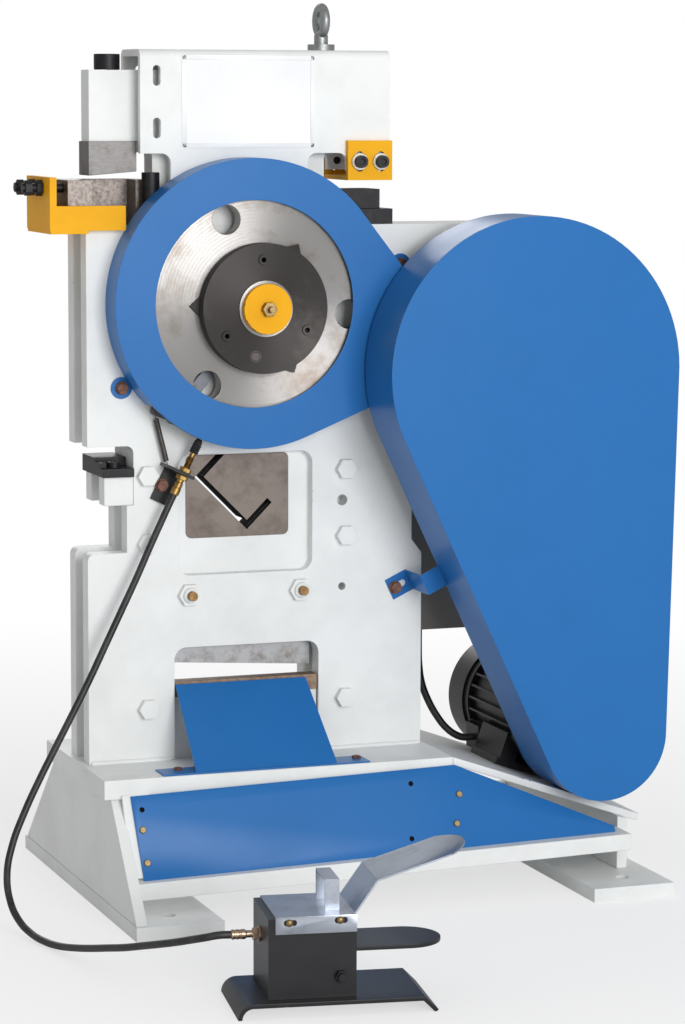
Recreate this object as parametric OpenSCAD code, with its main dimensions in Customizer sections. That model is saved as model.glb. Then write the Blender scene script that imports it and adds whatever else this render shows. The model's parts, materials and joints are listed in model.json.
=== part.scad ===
// Mechanical ironworker on a welded base, with its foot pedal beside it.
// Design axes: X to the right, Y to the back from the front plate's face, Z up from the floor.

/* [Frame] */
// Thickness of the front and rear frame plates
plate_t = 25; // [18:1:32]
// Thickness of the ram between the plates
ram_t = 36; // [30:1:44]
// Running gap on each face of the ram
ram_clear = 0.3; // [0.2:0.05:0.6]
// Width of the frame plates below the gear wing
frame_w = 456; // [448:1:464]
// Height of the work bed above the floor
bed_z = 870; // [860:1:890]
// Height of the base's top plate above the floor
base_z = 181; // [175:1:190]
// Reach of the gear wing past the lower frame
wing_reach = 176; // [165:1:200]
// Width of the ram's trunk
trunk_w = 232; // [226:1:236]

/* [Base] */
// Thickness of the base's top plate
base_plate_t = 25; // [16:1:30]
// Thickness of the base's side plates
side_t = 15; // [10:1:20]
// Width of each foot plate
foot_w = 114; // [100:1:130]
// Thickness of each foot plate
foot_t = 18; // [12:1:24]
// Length of each foot plate past its anchor holes
foot_past = 50; // [40:1:60]
// Anchor hole spacing across the base
anchor_dx = 622; // [616:1:630]
// Anchor hole spacing from front to back
anchor_dy = 448; // [430:1:470]
// Diameter of each anchor hole
anchor_d = 18; // [14:1:22]
// Thickness of the covers and panels made of sheet
sheet_t = 2; // [1.5:0.25:3]

/* [Channel] */
// Height of the top channel above the neck notches
channel_h = 131; // [124:1:140]
// Length of the top channel
channel_len = 336; // [332:1:345]
// Wall of the top channel
channel_t = 9; // [7:0.5:11]
// Width of the neck below the top channel
neck_w = 184; // [178:1:190]

/* [Drive] */
// Module of the main gear and its pinion
gear_m = 6; // [5.6:0.2:6.2]
// Teeth of the pinion that drives the main gear
pinion_teeth = 12; // [11:1:14]
// Module of the first stage
stage_m = 4; // [3.6:0.2:4.2]
// Teeth of the first stage wheel
stage_teeth = 58; // [55:1:60]
// Teeth of the first stage pinion
stage_pinion_teeth = 17; // [15:1:19]
// Face width of the main gear
gear_face = 25; // [20:1:26]
// Eccentric throw, half of the ram's stroke
throw = 13; // [8:0.5:13]
// Radius of the eccentric shaft's journals
journal_r = 40; // [38:0.5:44]
// Radius of the shaft's front end, which carries the main gear
nose_r = 36; // [32:0.5:37]
// Radius of the eccentric on the shaft
eccentric_r = 54; // [53:0.5:56]
// Wall of each bearing bush
bush_t = 8; // [5:0.5:10]
// Radial running clearance of the shafts
run_fit = 0.05; // [0.02:0.01:0.08]
// Radius of the countershafts
counter_r = 20; // [16:0.5:24]
// Radius of the flywheel
flywheel_r = 175; // [165:1:185]
// Radius of the motor pulley
motor_pulley_r = 50; // [46:1:56]
// Radius of the motor's shaft
motor_shaft_r = 12; // [10:0.5:14]

/* [Covers] */
// Radius of the belt cover round the flywheel
belt_cover_r = 200; // [195:1:204]
// Radius of the belt cover round the motor pulley
belt_cover_low_r = 87; // [80:1:88]
// Depth of the belt cover
belt_cover_d = 98; // [94:1:104]
// Radius of the gear cover
gear_cover_r = 185; // [183:1:190]
// Clear width between the main gear's teeth and the gear cover
gear_cover_gap = 17.8; // [14:0.1:20]
// Radius of the opening in the gear cover's face
gear_cover_hole_r = 132; // [126:1:138]
// Depth of the gear cover
gear_cover_d = 46; // [46:0.5:48]

/* [Tooling] */
// Side of the channel section that the section die cuts
section_web = 100; // [96:1:104]
// Leg of the channel section
section_leg = 48; // [44:1:52]
// Wall of the channel section's hole
section_t = 8.5; // [7:0.5:10]
// Width of the notching blade
notch_w = 63; // [58:1:66]
// Depth of the notching blade from front to back
notch_d = 46; // [42:1:48]
// Gap on each side of the notching blade in its die
notch_gap = 0.4; // [0.3:0.1:0.8]
// Radius of the punch
punch_r = 9; // [5:0.5:12]
// Width of the punch stripper
stripper_w = 61; // [56:1:66]

/* [Pedal] */
// Length of the pedal's base plate
pedal_len = 196; // [190:1:215]
// Depth of the pedal's base plate
pedal_dep = 128; // [124:1:136]
// Width of the pedal's box
pedal_box_w = 102; // [95:1:106]
// Height of the pedal's box above the floor
pedal_box_h = 112; // [106:1:118]
// Radius of the pedal's pivot bolt
pedal_pin_r = 5; // [4:0.25:6]
// Diameter of the cable's sheath
cable_d = 9; // [7:0.5:11]

/* [Hidden] */
$fn = 64;
eps = 1;
tuck = 0.05;
beyond = 900;

// Levels from the front plate's face to the back
y_gap0 = plate_t;
y_ram0 = plate_t + ram_clear;
y_ram1 = y_ram0 + ram_t;
y_gap1 = y_ram1 + ram_clear;
y_rear = y_gap1 + plate_t;
y_mid = y_rear / 2;

// Frame outline
frame_x1 = 99;
frame_x0 = frame_x1 - frame_w;
wing_x1 = frame_x1 + wing_reach;
trunk_x0 = -262;
trunk_x1 = trunk_x0 + trunk_w;
neck_x0 = -245;
neck_x1 = neck_x0 + neck_w;
window_x = [-236, -54];
window_z = [421, 578];
window_corner = 16;
low_window_x = [-242, -45];
low_window_z = 327;
notch_low_z = [454, 515];
notch_low_x = -305;
notch_high_z = [552, 591];
notch_high_x = -296;
notch_corner = 9;
waist_in = 14;
waist_z = [437, 455, 500];
wing_z = 600;
tie_x = [-278, -8.5];
gib_x = [-222, -71];
gib_z = 396;
tapped_x = -12.5;
tapped_r = [5, 7];

// Anchor pattern, which is the part's origin on the floor
anchor_in = 56;
anchor_front = -164;
anchor_x = [frame_x0 + anchor_in, frame_x0 + anchor_in + anchor_dx];
anchor_y = [anchor_front, anchor_front + anchor_dy];
anchor_cx = (anchor_x[0] + anchor_x[1]) / 2;
anchor_cy = (anchor_y[0] + anchor_y[1]) / 2;

// Shaft centres: main gear, intermediate shaft and flywheel shaft
gear_c = [-138, 767];
tooth_tip = 0.85;
tooth_root = 1.25;
gear_teeth = floor(2 * ((gear_cover_r - gear_cover_gap) / gear_m - tooth_tip));
gear_root_r = gear_m * (gear_teeth / 2 - tooth_root);
light_hole_r = 19;
light_hole_rim = 14.5;
stage2_dist = gear_m * (gear_teeth + pinion_teeth) / 2;
stage2_dir = -14;
mid_c = gear_c + stage2_dist * [cos(stage2_dir), sin(stage2_dir)];
stage1_dist = stage_m * (stage_teeth + stage_pinion_teeth) / 2;
stage1_dir = -13.5;
fly_c = mid_c + stage1_dist * [cos(stage1_dir), sin(stage1_dir)];
motor_c = [302, 205];
motor_plate_slope = 19.4;
gear_y0 = -38;
gear_y1 = gear_y0 + gear_face;
bush_r = journal_r + run_fit + bush_t;
counter_bush_r = counter_r + run_fit + bush_t;
stage_y0 = y_rear + 8;
stage_face = 26;
belt_off = 51;
belt_y0 = -belt_off - belt_cover_d;
belt_y1 = belt_y0 + belt_cover_d;
groove_pitch = 19;
belt_w = 13;
belt_h = 8;
belt_gap = 0.4;
pulley_w = 2 * groove_pitch + 6;
pulley_y0 = belt_y0 + 18;
gear_cover_c = gear_c + [-9, 5];
gear_cover_mid_r = 60;

// Tie bolts and tapped holes, which keep clear below the gear cover
cover_low = gear_cover_c[1] - gear_cover_r;
tie_under = 34.5;
tie_z = [250, 465, cover_low - tie_under];
tapped_share = 46 / 87.5;
tapped_z = [397, tie_z[1] + (tie_z[2] - tie_z[1]) * tapped_share];

// Clutch disc and stroke
clutch_r = 83;
clutch_t = 18;
clutch_y1 = gear_y0 - 4.5;
stroke = 2 * throw;

// Levels of the top channel and the ram's arms
channel_x0 = -285;
channel_z0 = bed_z + 92;
channel_z1 = channel_z0 + channel_h;
arm_z0 = bed_z + 107;
arm_z1 = bed_z + 197;
arm_x0 = -345;
arm_x1 = 44;

// Tools on the bed
notch_x0 = -347;
notch_blade_z = bed_z + 66;
die_top_z = bed_z + 59;
holder_bar_h = 27;
arm_fillet = trunk_x0 - notch_x0 - notch_w - 1;
punch_c = [22, y_mid];
stripper_x0 = -9;
stripper_z0 = bed_z + 57;
stripper_wall = 8;
stripper_slot = 26;
stripper_screw_x = [7, 36];
stripper_screw_z = bed_z + 81;
punch_die_z = bed_z + 45;

// Trip cable stop on the front plate, with its own axis
stop_c = [-237, cover_low - 31];
stop_dir = 63.4;
stop_y = -25;
lever_c = [-245, cover_low + 40];
lever_y0 = -11;
lever_t = 7;
lever_pin_r = 5;
spring_hook = [-269, cover_low + 49];
spring_hook_drop = 7.8;
spring_foot = [-254, cover_low - 18.3];
spring_r = 3.2;
spring_wire_r = 0.75;
spring_turns = 26;
spring_gap_limit = 0.4;

// Pedal place on the floor: the box's front left corner, and its turn
pedal_at = [-308, -576];
pedal_turn = -9;
pedal_plate_t = 5;
pedal_plate_z = 13;
pedal_box_d = 104;
pedal_box_t = 4;
pedal_pin_at = [84, 43];
pedal_cover_t = 2;
pedal_cover_x0 = 8;
pedal_lever_gap = 6;
pedal_lever_w = pedal_box_d - 2 * (pedal_box_t + pedal_lever_gap);
pedal_lever_z = 68;
pedal_lever_t = 5;
pedal_reach = 126;
fitting_z = 82;
cable_r = cable_d / 2;

// Hand-chosen route of the cable, from the adjuster on the frame to the pedal's fitting
cable_route = [
    [-250, -25, 530], [-257, -25, 516], [-268, -26, 494], [-283, -28, 464], [-301, -32, 428],
    [-322, -36, 388], [-345, -41, 345], [-369, -46, 300], [-393, -51, 258], [-417, -56, 217],
    [-440, -62, 178], [-461, -69, 140], [-479, -78, 102], [-489, -90, 68], [-490, -110, 38],
    [-485, -134, 19], [-477, -162, 9], [-468, -194, 6], [-459, -228, 8], [-450, -264, 14],
    [-441, -302, 22], [-431, -340, 31], [-420, -378, 40], [-408, -414, 50], [-396, -446, 59],
    [-384, -473, 67], [-372, -494, 74], [-360, -508, 79], [-347, -514.2, 82], [-333, -516.4, 82]
];
cable_sides = 10;

// Hand-chosen route of the motor's lead, from the box to the motor
lead_route = [
    [146, 130, 318], [146, 130, 290], [147, 130, 262], [151, 129, 236], [160, 127, 212],
    [172, 124, 190], [184, 120, 174], [197, 117, 164], [209, 116, 160], [221, 116, 160]
];
lead_r = 5;

white = "#E9EBEA";
blue = "#3F79BD";
yellow = "#F9B92A";
black = "#2B2C30";
steel = "#B5B5B8";
brass = "#B08D3F";

// Small shape helpers
module placed() {
    translate([-anchor_cx, -anchor_cy, 0]) children();
}

module along_y(y0, y1) {
    translate([0, y1, 0]) rotate([90, 0, 0]) linear_extrude(y1 - y0) children();
}

module rod_y(c, y0, y1, r) {
    translate([c[0], y1, c[1]]) rotate([90, 0, 0]) cylinder(h = y1 - y0, r = r);
}

module tube_y(c, y0, y1, r_in, r_out) {
    difference() {
        rod_y(c, y0, y1, r_out);
        rod_y(c, y0 - eps, y1 + eps, r_in);
    }
}

module hex_y(c, y0, y1, across) {
    translate([c[0], y1, c[1]]) rotate([90, 0, 0]) cylinder(h = y1 - y0, r = across / 2 / cos(30), $fn = 6);
}

module box(x, y, z) {
    translate([x[0], y[0], z[0]]) cube([x[1] - x[0], y[1] - y[0], z[1] - z[0]]);
}

module soft_box(x, y, z, r) {
    box([x[0] + r, x[1] - r], y, z);
    box(x, y, [z[0] + r, z[1] - r]);
    for (cx = [x[0] + r, x[1] - r], cz = [z[0] + r, z[1] - r]) rod_y([cx, cz], y[0], y[1], r);
}

// Outline of two circles and the straight lines that touch them, tucked in so that they cross
module teardrop(c0, r0, c1, r1) {
    d = c1 - c0;
    dir = atan2(d[1], d[0]);
    lean = acos((r0 - r1) / norm(d));
    up = [cos(dir + lean), sin(dir + lean)];
    down = [cos(dir - lean), sin(dir - lean)];
    translate(c0) circle(r0);
    translate(c1) circle(r1);
    polygon([c0 + (r0 - tuck) * up, c0 + (r0 - tuck) * down, c1 + (r1 - tuck) * down, c1 + (r1 - tuck) * up]);
}

// Straight-flanked teeth with a little backlash
function tooth_points(n, m, i) = [
    for (p = [[-tooth_root, -0.30], [-0.5, -0.235], [tooth_tip, -0.11],
              [tooth_tip, 0.11], [-0.5, 0.235], [-tooth_root, 0.30]])
    let (r = m * (n / 2 + p[0]), a = 360 / n * (i + p[1]))
    r * [cos(a), sin(a)]
];

module gear_outline(n, m) {
    polygon([for (i = [0 : n - 1]) each tooth_points(n, m, i)]);
}

module toothed_wheel(c, n, m, y0, y1, turn) {
    translate([c[0], 0, c[1]]) along_y(y0, y1) rotate(turn) gear_outline(n, m);
}

// Tube swept along a list of points, with its end faces square to the route
function unit(v) = v / norm(v);
function heading(path, i) =
    unit(path[min(i + 1, len(path) - 1)] - path[max(i - 1, 0)]);
function side_of(h) = unit(cross(h, abs(h[2]) > 0.9 ? [0, 1, 0] : [0, 0, 1]));
function carry(path, i, s) =
    let (h = heading(path, i)) unit(s - h * (h * s));
function frames(path, i = 0, s = undef, out = []) =
    i == len(path) ? out :
    let (t = i == 0 ? side_of(heading(path, 0)) : carry(path, i, s))
    frames(path, i + 1, t, concat(out, [t]));

module swept_tube(path, r, sides) {
    rows = len(path);
    sideways = frames(path);
    points = [
        for (i = [0 : rows - 1])
        let (h = heading(path, i), s = sideways[i], u = cross(h, s))
        for (k = [0 : sides - 1]) path[i] + r * (cos(360 / sides * k) * s + sin(360 / sides * k) * u)
    ];
    walls = [
        for (i = [0 : rows - 2], k = [0 : sides - 1])
        let (a = i * sides + k, b = i * sides + (k + 1) % sides)
        each [[a, b, b + sides], [a, b + sides, a + sides]]
    ];
    near_cap = [for (k = [1 : sides - 2]) [0, k + 1, k]];
    last = (rows - 1) * sides;
    far_cap = [for (k = [1 : sides - 2]) [last, last + k, last + k + 1]];
    polyhedron(points = points, faces = [for (f = concat(walls, near_cap, far_cap)) [f[2], f[1], f[0]]]);
}

// Bar with round ends between two points
module bar_outline(a, b, r) {
    d = b - a;
    translate(a) circle(r);
    translate(b) circle(r);
    translate(a) rotate(atan2(d[1], d[0])) translate([0, tuck - r]) square([norm(d), 2 * (r - tuck)]);
}

// Bolt head with its washer, seated on a face that looks to the front
module washer_bolt(c, y, washer_r, across) {
    rod_y(c, y - 2.5, y, washer_r);
    hex_y(c, y - 8, y - 2.5, across);
}

// Base: top plate, side plates, feet, sills, panels and the sloping motor plate
base_x0 = frame_x0 - 9;
base_x1 = frame_x1 + 6;
base_y = [-103, 180];
base_under = base_z - base_plate_t;
foot_in = [9, 62];
foot_x0 = [base_x0 + foot_in[0], anchor_x[1] - foot_in[1]];
foot_y = [anchor_y[0] - foot_past, anchor_y[1] + foot_past];
side_x = [base_x0 + 10, foot_x0[1] + foot_w - 24 - side_t];
right_edge_y = -118;
sill_x = [side_x[0] + side_t, side_x[1]];
sill_h = 22;
sill_top = 60;
sill_rise = 15;
sill_leg_t = 6;
sill_leg_y = -100;
sill_front_y = [-163, -147];
sill_rear_y = [foot_y[1] - 75, foot_y[1] - 59];
panel_foot_y = -149;
panel_gap = [13, 15];
panel_splay = 6;
panel_clear = 1.2;
panel_top_drop = [21, 10.5];
panel_end_drop = 24;
panel_lean = atan2(base_y[0] - panel_clear - panel_foot_y, base_z - panel_top_drop[1] - sill_top);
motor_plate_t = 10;

module base_top_plate() {
    color(white) box([base_x0, base_x1], base_y, [base_under, base_z]);
}

// Everything above the underside of the sloping motor plate
module over_motor_plate(drop) {
    translate([base_x1, 0, base_z]) rotate([0, motor_plate_slope, 0])
        translate([-beyond, -beyond, -drop]) cube(2 * beyond);
}

module side_plate(x, front) {
    translate([x, 0, 0]) rotate([90, 0, 90]) linear_extrude(side_t)
        polygon(concat(front, [[base_y[1] - 4, base_under], [foot_y[1] - 6, foot_t]]));
}

module base_side_plates() {
    color(white) {
        side_plate(side_x[0], [[foot_y[0] + 4, foot_t], [base_y[0] + 7, base_under]]);
        difference() {
            side_plate(side_x[1], [[right_edge_y, foot_t], [right_edge_y, base_under]]);
            over_motor_plate(motor_plate_t);
        }
    }
}

module base_feet() {
    color(white) difference() {
        for (x = foot_x0) box([x, x + foot_w], foot_y, [0, foot_t]);
        for (x = anchor_x, y = anchor_y)
            translate([x, y, -eps]) cylinder(h = foot_t + 2 * eps, d = anchor_d);
    }
}

// The front sill is an angle bar that climbs to the right
function sill_line(x) = sill_top + sill_rise * (x - sill_x[0]) / (sill_x[1] - sill_x[0]);

module under_sill_line(x, y, deep) {
    along_y(y[0], y[1]) polygon([
        [x[0], sill_line(x[0]) - deep], [x[1], sill_line(x[1]) - deep],
        [x[1], sill_line(x[1])], [x[0], sill_line(x[0])]
    ]);
}

module base_sills() {
    color(white) {
        under_sill_line(sill_x, sill_front_y, sill_h);
        under_sill_line(sill_x, [sill_front_y[1] - eps, sill_leg_y], sill_leg_t);
        box(sill_x, sill_rear_y, [sill_top - sill_h, sill_top]);
    }
}

function up_panel(z) = (z - sill_top) / cos(panel_lean);

module base_front_panel() {
    x = [sill_x[0] + panel_gap[0], sill_x[1] - panel_gap[1]];
    end_z = base_z - (x[1] - base_x1) * tan(motor_plate_slope) - panel_end_drop;
    outline = [
        [x[0], -6], [x[1], -6], [x[1], up_panel(end_z)],
        [base_x1 + 1, up_panel(base_z - panel_top_drop[1])],
        [x[0] - panel_splay, up_panel(base_z - panel_top_drop[0])]
    ];
    color(blue) difference() {
        translate([0, panel_foot_y, sill_top]) rotate([90 - panel_lean, 0, 0])
            linear_extrude(sheet_t) polygon(outline);
        under_sill_line(sill_x, [panel_foot_y - 50, panel_foot_y + 50], 50);
    }
}

module motor_plate() {
    length = (foot_x0[1] + foot_w - base_x1) / cos(motor_plate_slope);
    color(white) difference() {
        translate([base_x1, 0, base_z]) rotate([0, motor_plate_slope, 0])
            translate([-10, base_y[0], -motor_plate_t])
            cube([length + 10, base_y[1] + 40 - base_y[0], motor_plate_t]);
        box([base_x1 - beyond, base_x1], [-beyond, beyond], [0, beyond]);
    }
}

// Frame: two plates, the spacers between them, tie bolts and gib screws
die_x = [-222, -82];
die_z = [467, 575];
die_pocket = 15;

module plate_outline() {
    r = notch_corner;
    polygon(concat(
        [[frame_x0, base_z], [frame_x1, base_z], [frame_x1, waist_z[0]], [frame_x1 - waist_in, waist_z[1]]],
        [[frame_x1 - waist_in, waist_z[2]], [wing_x1, wing_z], [wing_x1, bed_z], [frame_x0, bed_z]],
        [[frame_x0, notch_high_z[1]]],
        [for (a = [90 : -22.5 : 0]) [notch_high_x - r + r * cos(a), notch_high_z[1] - r + r * sin(a)]],
        [[notch_high_x, notch_low_z[1]], [notch_low_x, notch_low_z[1]], [notch_low_x, notch_low_z[0]]],
        [for (a = [90 : 22.5 : 180]) [frame_x0 + r + r * cos(a), notch_low_z[0] - r + r * sin(a)]]
    ));
}

module plate_holes(y0, y1) {
    rod_y(gear_c, y0, y1, bush_r);
    for (c = [mid_c, fly_c]) rod_y(c, y0, y1, counter_bush_r);
    for (x = tie_x, z = tie_z) rod_y([x, z], y0, y1, tie_r + tie_gap);
    soft_box(low_window_x, [y0, y1], [base_z - 40, low_window_z], window_corner);
}

tie_r = 8;
tie_gap = 0.4;
tie_head = 10;
tie_across = 24;
gib_r = 6;
gib_gap = 0.2;
gib_reach = 20;
gib_nut = 8;
gib_across = 27;
gib_washer = 4;
gib_washer_r = 10;

module front_plate() {
    color(white) difference() {
        union() {
            along_y(0, plate_t) plate_outline();
            box([neck_x0 + 5, neck_x1 - 5], [channel_t, plate_t], [bed_z - eps, channel_z0 - 8]);
        }
        plate_holes(-eps, plate_t + eps);
        soft_box(window_x, [-eps, die_pocket], window_z, window_corner);
        soft_box(die_x, [0, plate_t + eps], die_z, 8);
        for (x = gib_x) rod_y([x, gib_z], -eps, plate_t + eps, gib_r + gib_gap);
        for (i = [0, 1]) rod_y([tapped_x, tapped_z[i]], -eps, plate_t + eps, tapped_r[i]);
    }
}

module rear_plate() {
    color(white) difference() {
        union() {
            along_y(y_gap1, y_rear) plate_outline();
            box([neck_x0 + 5, neck_x1 - 5], [y_gap1, y_rear - channel_t], [bed_z - eps, channel_z0 - 8]);
        }
        plate_holes(y_gap1 - eps, y_rear + eps);
        soft_box(window_x, [y_gap1 - eps, y_rear + eps], window_z, window_corner);
    }
}

module frame_spacers() {
    color(white) difference() {
        for (x = [[notch_high_x + 1, trunk_x0 - ram_clear], [trunk_x1 + ram_clear, 8]])
            box(x, [y_gap0, y_gap1], [base_z, bed_z - 4]);
        for (x = tie_x, z = tie_z) rod_y([x, z], y_gap0 - eps, y_gap1 + eps, tie_r + tie_gap);
        for (c = [mid_c, fly_c]) rod_y(c, y_gap0 - eps, y_gap1 + eps, counter_bush_r);
    }
    color(white) box(shear_x, [6, plate_t - 0.2], [base_z, shear_z - blade_h]);
}

module tie_bolts() {
    color(white) for (x = tie_x, z = tie_z) {
        rod_y([x, z], -1, y_rear + tie_head + 4, tie_r);
        hex_y([x, z], -tie_head, 0, tie_across);
        hex_y([x, z], y_rear, y_rear + tie_head, tie_across);
    }
}

module gib_screws() {
    color(steel) for (x = gib_x) {
        rod_y([x, gib_z], -gib_reach, plate_t, gib_r);
        hex_y([x, gib_z], -gib_nut, 0, gib_across);
        rod_y([x, gib_z], -gib_nut - gib_washer, -gib_nut, gib_washer_r);
    }
}

// Top channel over the neck, with its eye bolt and plain plate
eye_x = -28;
eye_ring_r = 17;
eye_wire_r = 6;
eye_shank_r = 8;
eye_foot_r = 17.5;
eye_neck_r = 9;
eye_neck_h = 20;
label_x = [55, 233];
label_z = [7, 124];
label_t = 1.2;
slot_w = 10;
slot_h = 26;
slot_in = 17;
slot_up = [19, 85];

module channel_profile() {
    r = 10;
    difference() {
        union() {
            square([y_rear, channel_h - r]);
            translate([r, 0]) square([y_rear - 2 * r, channel_h]);
            for (y = [r, y_rear - r]) translate([y, channel_h - r]) circle(r);
        }
        translate([channel_t, -eps]) square([y_rear - 2 * channel_t, channel_h - channel_t + eps]);
    }
}

module channel_flange_pair(x, z) {
    box(x, [0, channel_t], z);
    box(x, [y_rear - channel_t, y_rear], z);
}

module top_channel() {
    lug_x0 = stripper_x0 + 2;
    corner = 12;
    color(white) difference() {
        union() {
            translate([channel_x0, 0, channel_z0]) rotate([90, 0, 90])
                linear_extrude(channel_len) channel_profile();
            channel_flange_pair([neck_x0 - corner, lug_x0 + corner], [channel_z0 - corner, channel_z0 + eps]);
            channel_flange_pair([neck_x0, neck_x1], [bed_z, channel_z0]);
            channel_flange_pair([lug_x0, channel_x0 + channel_len], [stripper_z0 + 12, channel_z0 + eps]);
        }
        for (x = [neck_x0 - corner, neck_x1 + corner, lug_x0 - corner])
            rod_y([x, channel_z0 - corner], -eps, y_rear + eps, corner);
        box([neck_x1 + corner, lug_x0 - corner], [-eps, y_rear + eps], [channel_z0 - 2 * corner, channel_z0]);
        for (z = slot_up) translate([channel_x0 + slot_in, 0, channel_z0 + z])
            soft_box([0, slot_w], [-eps, y_rear + eps], [0, slot_h], slot_w / 2 - tuck);
        for (x = stripper_screw_x)
            rod_y([x, stripper_screw_z], -eps, y_rear + eps, stripper_screw_r + run_fit);
        translate([eye_x, y_mid, channel_z1 - 20]) cylinder(h = 40, r = eye_shank_r + screw_gap);
    }
}

module eye_bolt() {
    color(steel) translate([eye_x, y_mid, channel_z1]) {
        translate([0, 0, -channel_t - 4]) cylinder(h = channel_t + 6, r = eye_shank_r);
        cylinder(h = 8, r = eye_foot_r);
        cylinder(h = eye_neck_h, r = eye_neck_r);
        translate([0, 0, eye_neck_h + 1 + eye_ring_r]) rotate([0, 90, 0])
            rotate_extrude() translate([eye_ring_r, 0]) circle(eye_wire_r);
    }
}

module label_plate() {
    color("#F4F5F6") translate([channel_x0, 0, channel_z0]) box(label_x, [-label_t, 0], label_z);
}

// Bearings of the three shafts, in both plates
module shaft_bushes() {
    color(brass) for (y = [[0, plate_t], [y_gap1, y_rear]]) {
        tube_y(gear_c, y[0], y[1], journal_r + run_fit, bush_r);
        for (c = [mid_c, fly_c]) tube_y(c, y[0], y[1], counter_r + run_fit, counter_bush_r);
    }
}

// Covers
ear_r = 14;
ear_out = 11;
ear_run = 96.5;
ear_turn = 212.8;
cover_dir = atan2(mid_c[1] - gear_cover_c[1], mid_c[0] - gear_cover_c[0]);
cover_turn = cover_dir + acos((gear_cover_r - gear_cover_mid_r) / norm(mid_c - gear_cover_c));
ear_c = [
    gear_cover_c + (gear_cover_r + ear_out) * [cos(cover_turn), sin(cover_turn)]
        + ear_run * [sin(cover_turn), -cos(cover_turn)],
    gear_cover_c + (gear_cover_r + ear_out) * [cos(ear_turn), sin(ear_turn)]
];

module gear_cover() {
    color(blue) {
        difference() {
            along_y(-gear_cover_d, 0) teardrop(gear_cover_c, gear_cover_r, mid_c, gear_cover_mid_r);
            along_y(-gear_cover_d + sheet_t, eps)
                teardrop(gear_cover_c, gear_cover_r - sheet_t, mid_c, gear_cover_mid_r - sheet_t);
            rod_y(gear_cover_c, -gear_cover_d - eps, 0, gear_cover_hole_r);
            box([spring_hook[0] - 12, stop_c[0] + 34], [stop_y - 10, eps],
                [stop_c[1] + 14, spring_hook[1] + 14]);
        }
        difference() {
            for (c = ear_c) rod_y(c, -sheet_t, 0, ear_r);
            along_y(-sheet_t - eps, eps)
                teardrop(gear_cover_c, gear_cover_r - sheet_t / 2, mid_c, gear_cover_mid_r - sheet_t / 2);
        }
    }
}

module belt_cover() {
    color(blue) difference() {
        along_y(belt_y0, belt_y1) teardrop(fly_c, belt_cover_r, motor_c, belt_cover_low_r);
        along_y(belt_y0 + sheet_t, belt_y1 + eps)
            teardrop(fly_c, belt_cover_r - sheet_t, motor_c, belt_cover_low_r - sheet_t);
    }
}

// The bracket's axes start at its bolt and follow the belt cover's straight left wall
bracket_c = [61, 392.5];
bracket_u = [-8.5, 23.5];
bracket_half = 14.5;
bracket_slot = 12;
bracket_hole_r = 4.5;
wall_run = motor_c - fly_c;
wall_dir = atan2(wall_run[1], wall_run[0]) - acos((belt_cover_r - belt_cover_low_r) / norm(wall_run)) + 180;
wall_far = (bracket_c - fly_c) * -[cos(wall_dir), sin(wall_dir)] - belt_cover_r;

module belt_cover_bracket() {
    v = [-bracket_half, bracket_half];
    front = belt_y1 - 8;
    color(blue) translate([bracket_c[0], 0, bracket_c[1]]) rotate([0, -wall_dir, 0]) {
        difference() {
            box(bracket_u, [-sheet_t, 0], v);
            for (x = [0, bracket_slot]) rod_y([x, 0], -5, 5, bracket_hole_r);
            box([0, bracket_slot], [-5, 5], [tuck - bracket_hole_r, bracket_hole_r - tuck]);
        }
        box([bracket_u[1] - sheet_t, bracket_u[1]], [front, 0], v);
        box([bracket_u[1] - sheet_t, wall_far - 0.2], [front, front + sheet_t], v);
    }
}

module rear_gear_cover() {
    tip_r = stage_m * (stage_teeth / 2 + 1) + 10;
    deep = stage_y0 + stage_face + 10;
    color(blue) difference() {
        along_y(y_rear, deep) teardrop(mid_c, tip_r, fly_c, 56);
        along_y(y_rear - eps, deep - sheet_t) teardrop(mid_c, tip_r - sheet_t, fly_c, 56 - sheet_t);
    }
}

module cover_bolts() {
    color("#7D5A4D") {
        for (c = ear_c) washer_bolt(c, -sheet_t, 8.5, 13);
        washer_bolt(bracket_c, -sheet_t, 8.5, 13);
        washer_bolt(stop_bolt, -stop_t, 8.5, 13);
    }
}

// Notching station: holder, die and screws on the bed, blade on the ram
holder_x0 = -407;
holder_t = 9;
holder_over = 14;
holder_h = 63;
set_screw_r = 6;
set_screw_z = bed_z + 49;
set_screw_y = [24, 62];
set_screw_len = 53;
clamp_c = [-268, 12.5];
clamp_h = 68;
clamp_r = 11.5;
screw_gap = 0.3;
die_x0 = -380;
die_leg = 14;
blade_y = [y_mid - notch_d / 2, y_mid + notch_d / 2];

module notch_holder() {
    cover_half = sqrt(gear_cover_r * gear_cover_r - pow(bed_z - 4 - gear_cover_c[1], 2));
    bar_x = [holder_x0 + holder_t, gear_cover_c[0] - cover_half - 2];
    z = [bed_z - 4, bed_z + holder_bar_h];
    color(yellow) difference() {
        union() {
            box([holder_x0, holder_x0 + holder_t], [-holder_over, y_rear + holder_over],
                [bed_z - 4, bed_z + holder_h]);
            box(bar_x, [-holder_over, 0], z);
            box(bar_x, [y_rear, y_rear + holder_over], z);
            box([holder_x0 + 1, frame_x0], [-holder_over, y_rear + holder_over], [bed_z - 8, bed_z]);
        }
        for (y = set_screw_y) translate([holder_x0 - 5, y, set_screw_z]) rotate([0, 90, 0])
            cylinder(h = 30, r = set_screw_r + screw_gap);
    }
}

module notch_die() {
    slot_x = [notch_x0 - notch_gap, notch_x0 + notch_w + notch_gap];
    color("#8A8078") difference() {
        box([die_x0, slot_x[1] + die_leg], [0, y_rear], [bed_z, die_top_z]);
        box(slot_x, [-eps, blade_y[1] + notch_gap], [bed_z - eps, die_top_z + eps]);
        box([slot_x[0] + eps, slot_x[1] + die_leg + eps], [-eps, y_gap0 + 2], [bed_z - eps, die_top_z + eps]);
    }
}

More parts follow.
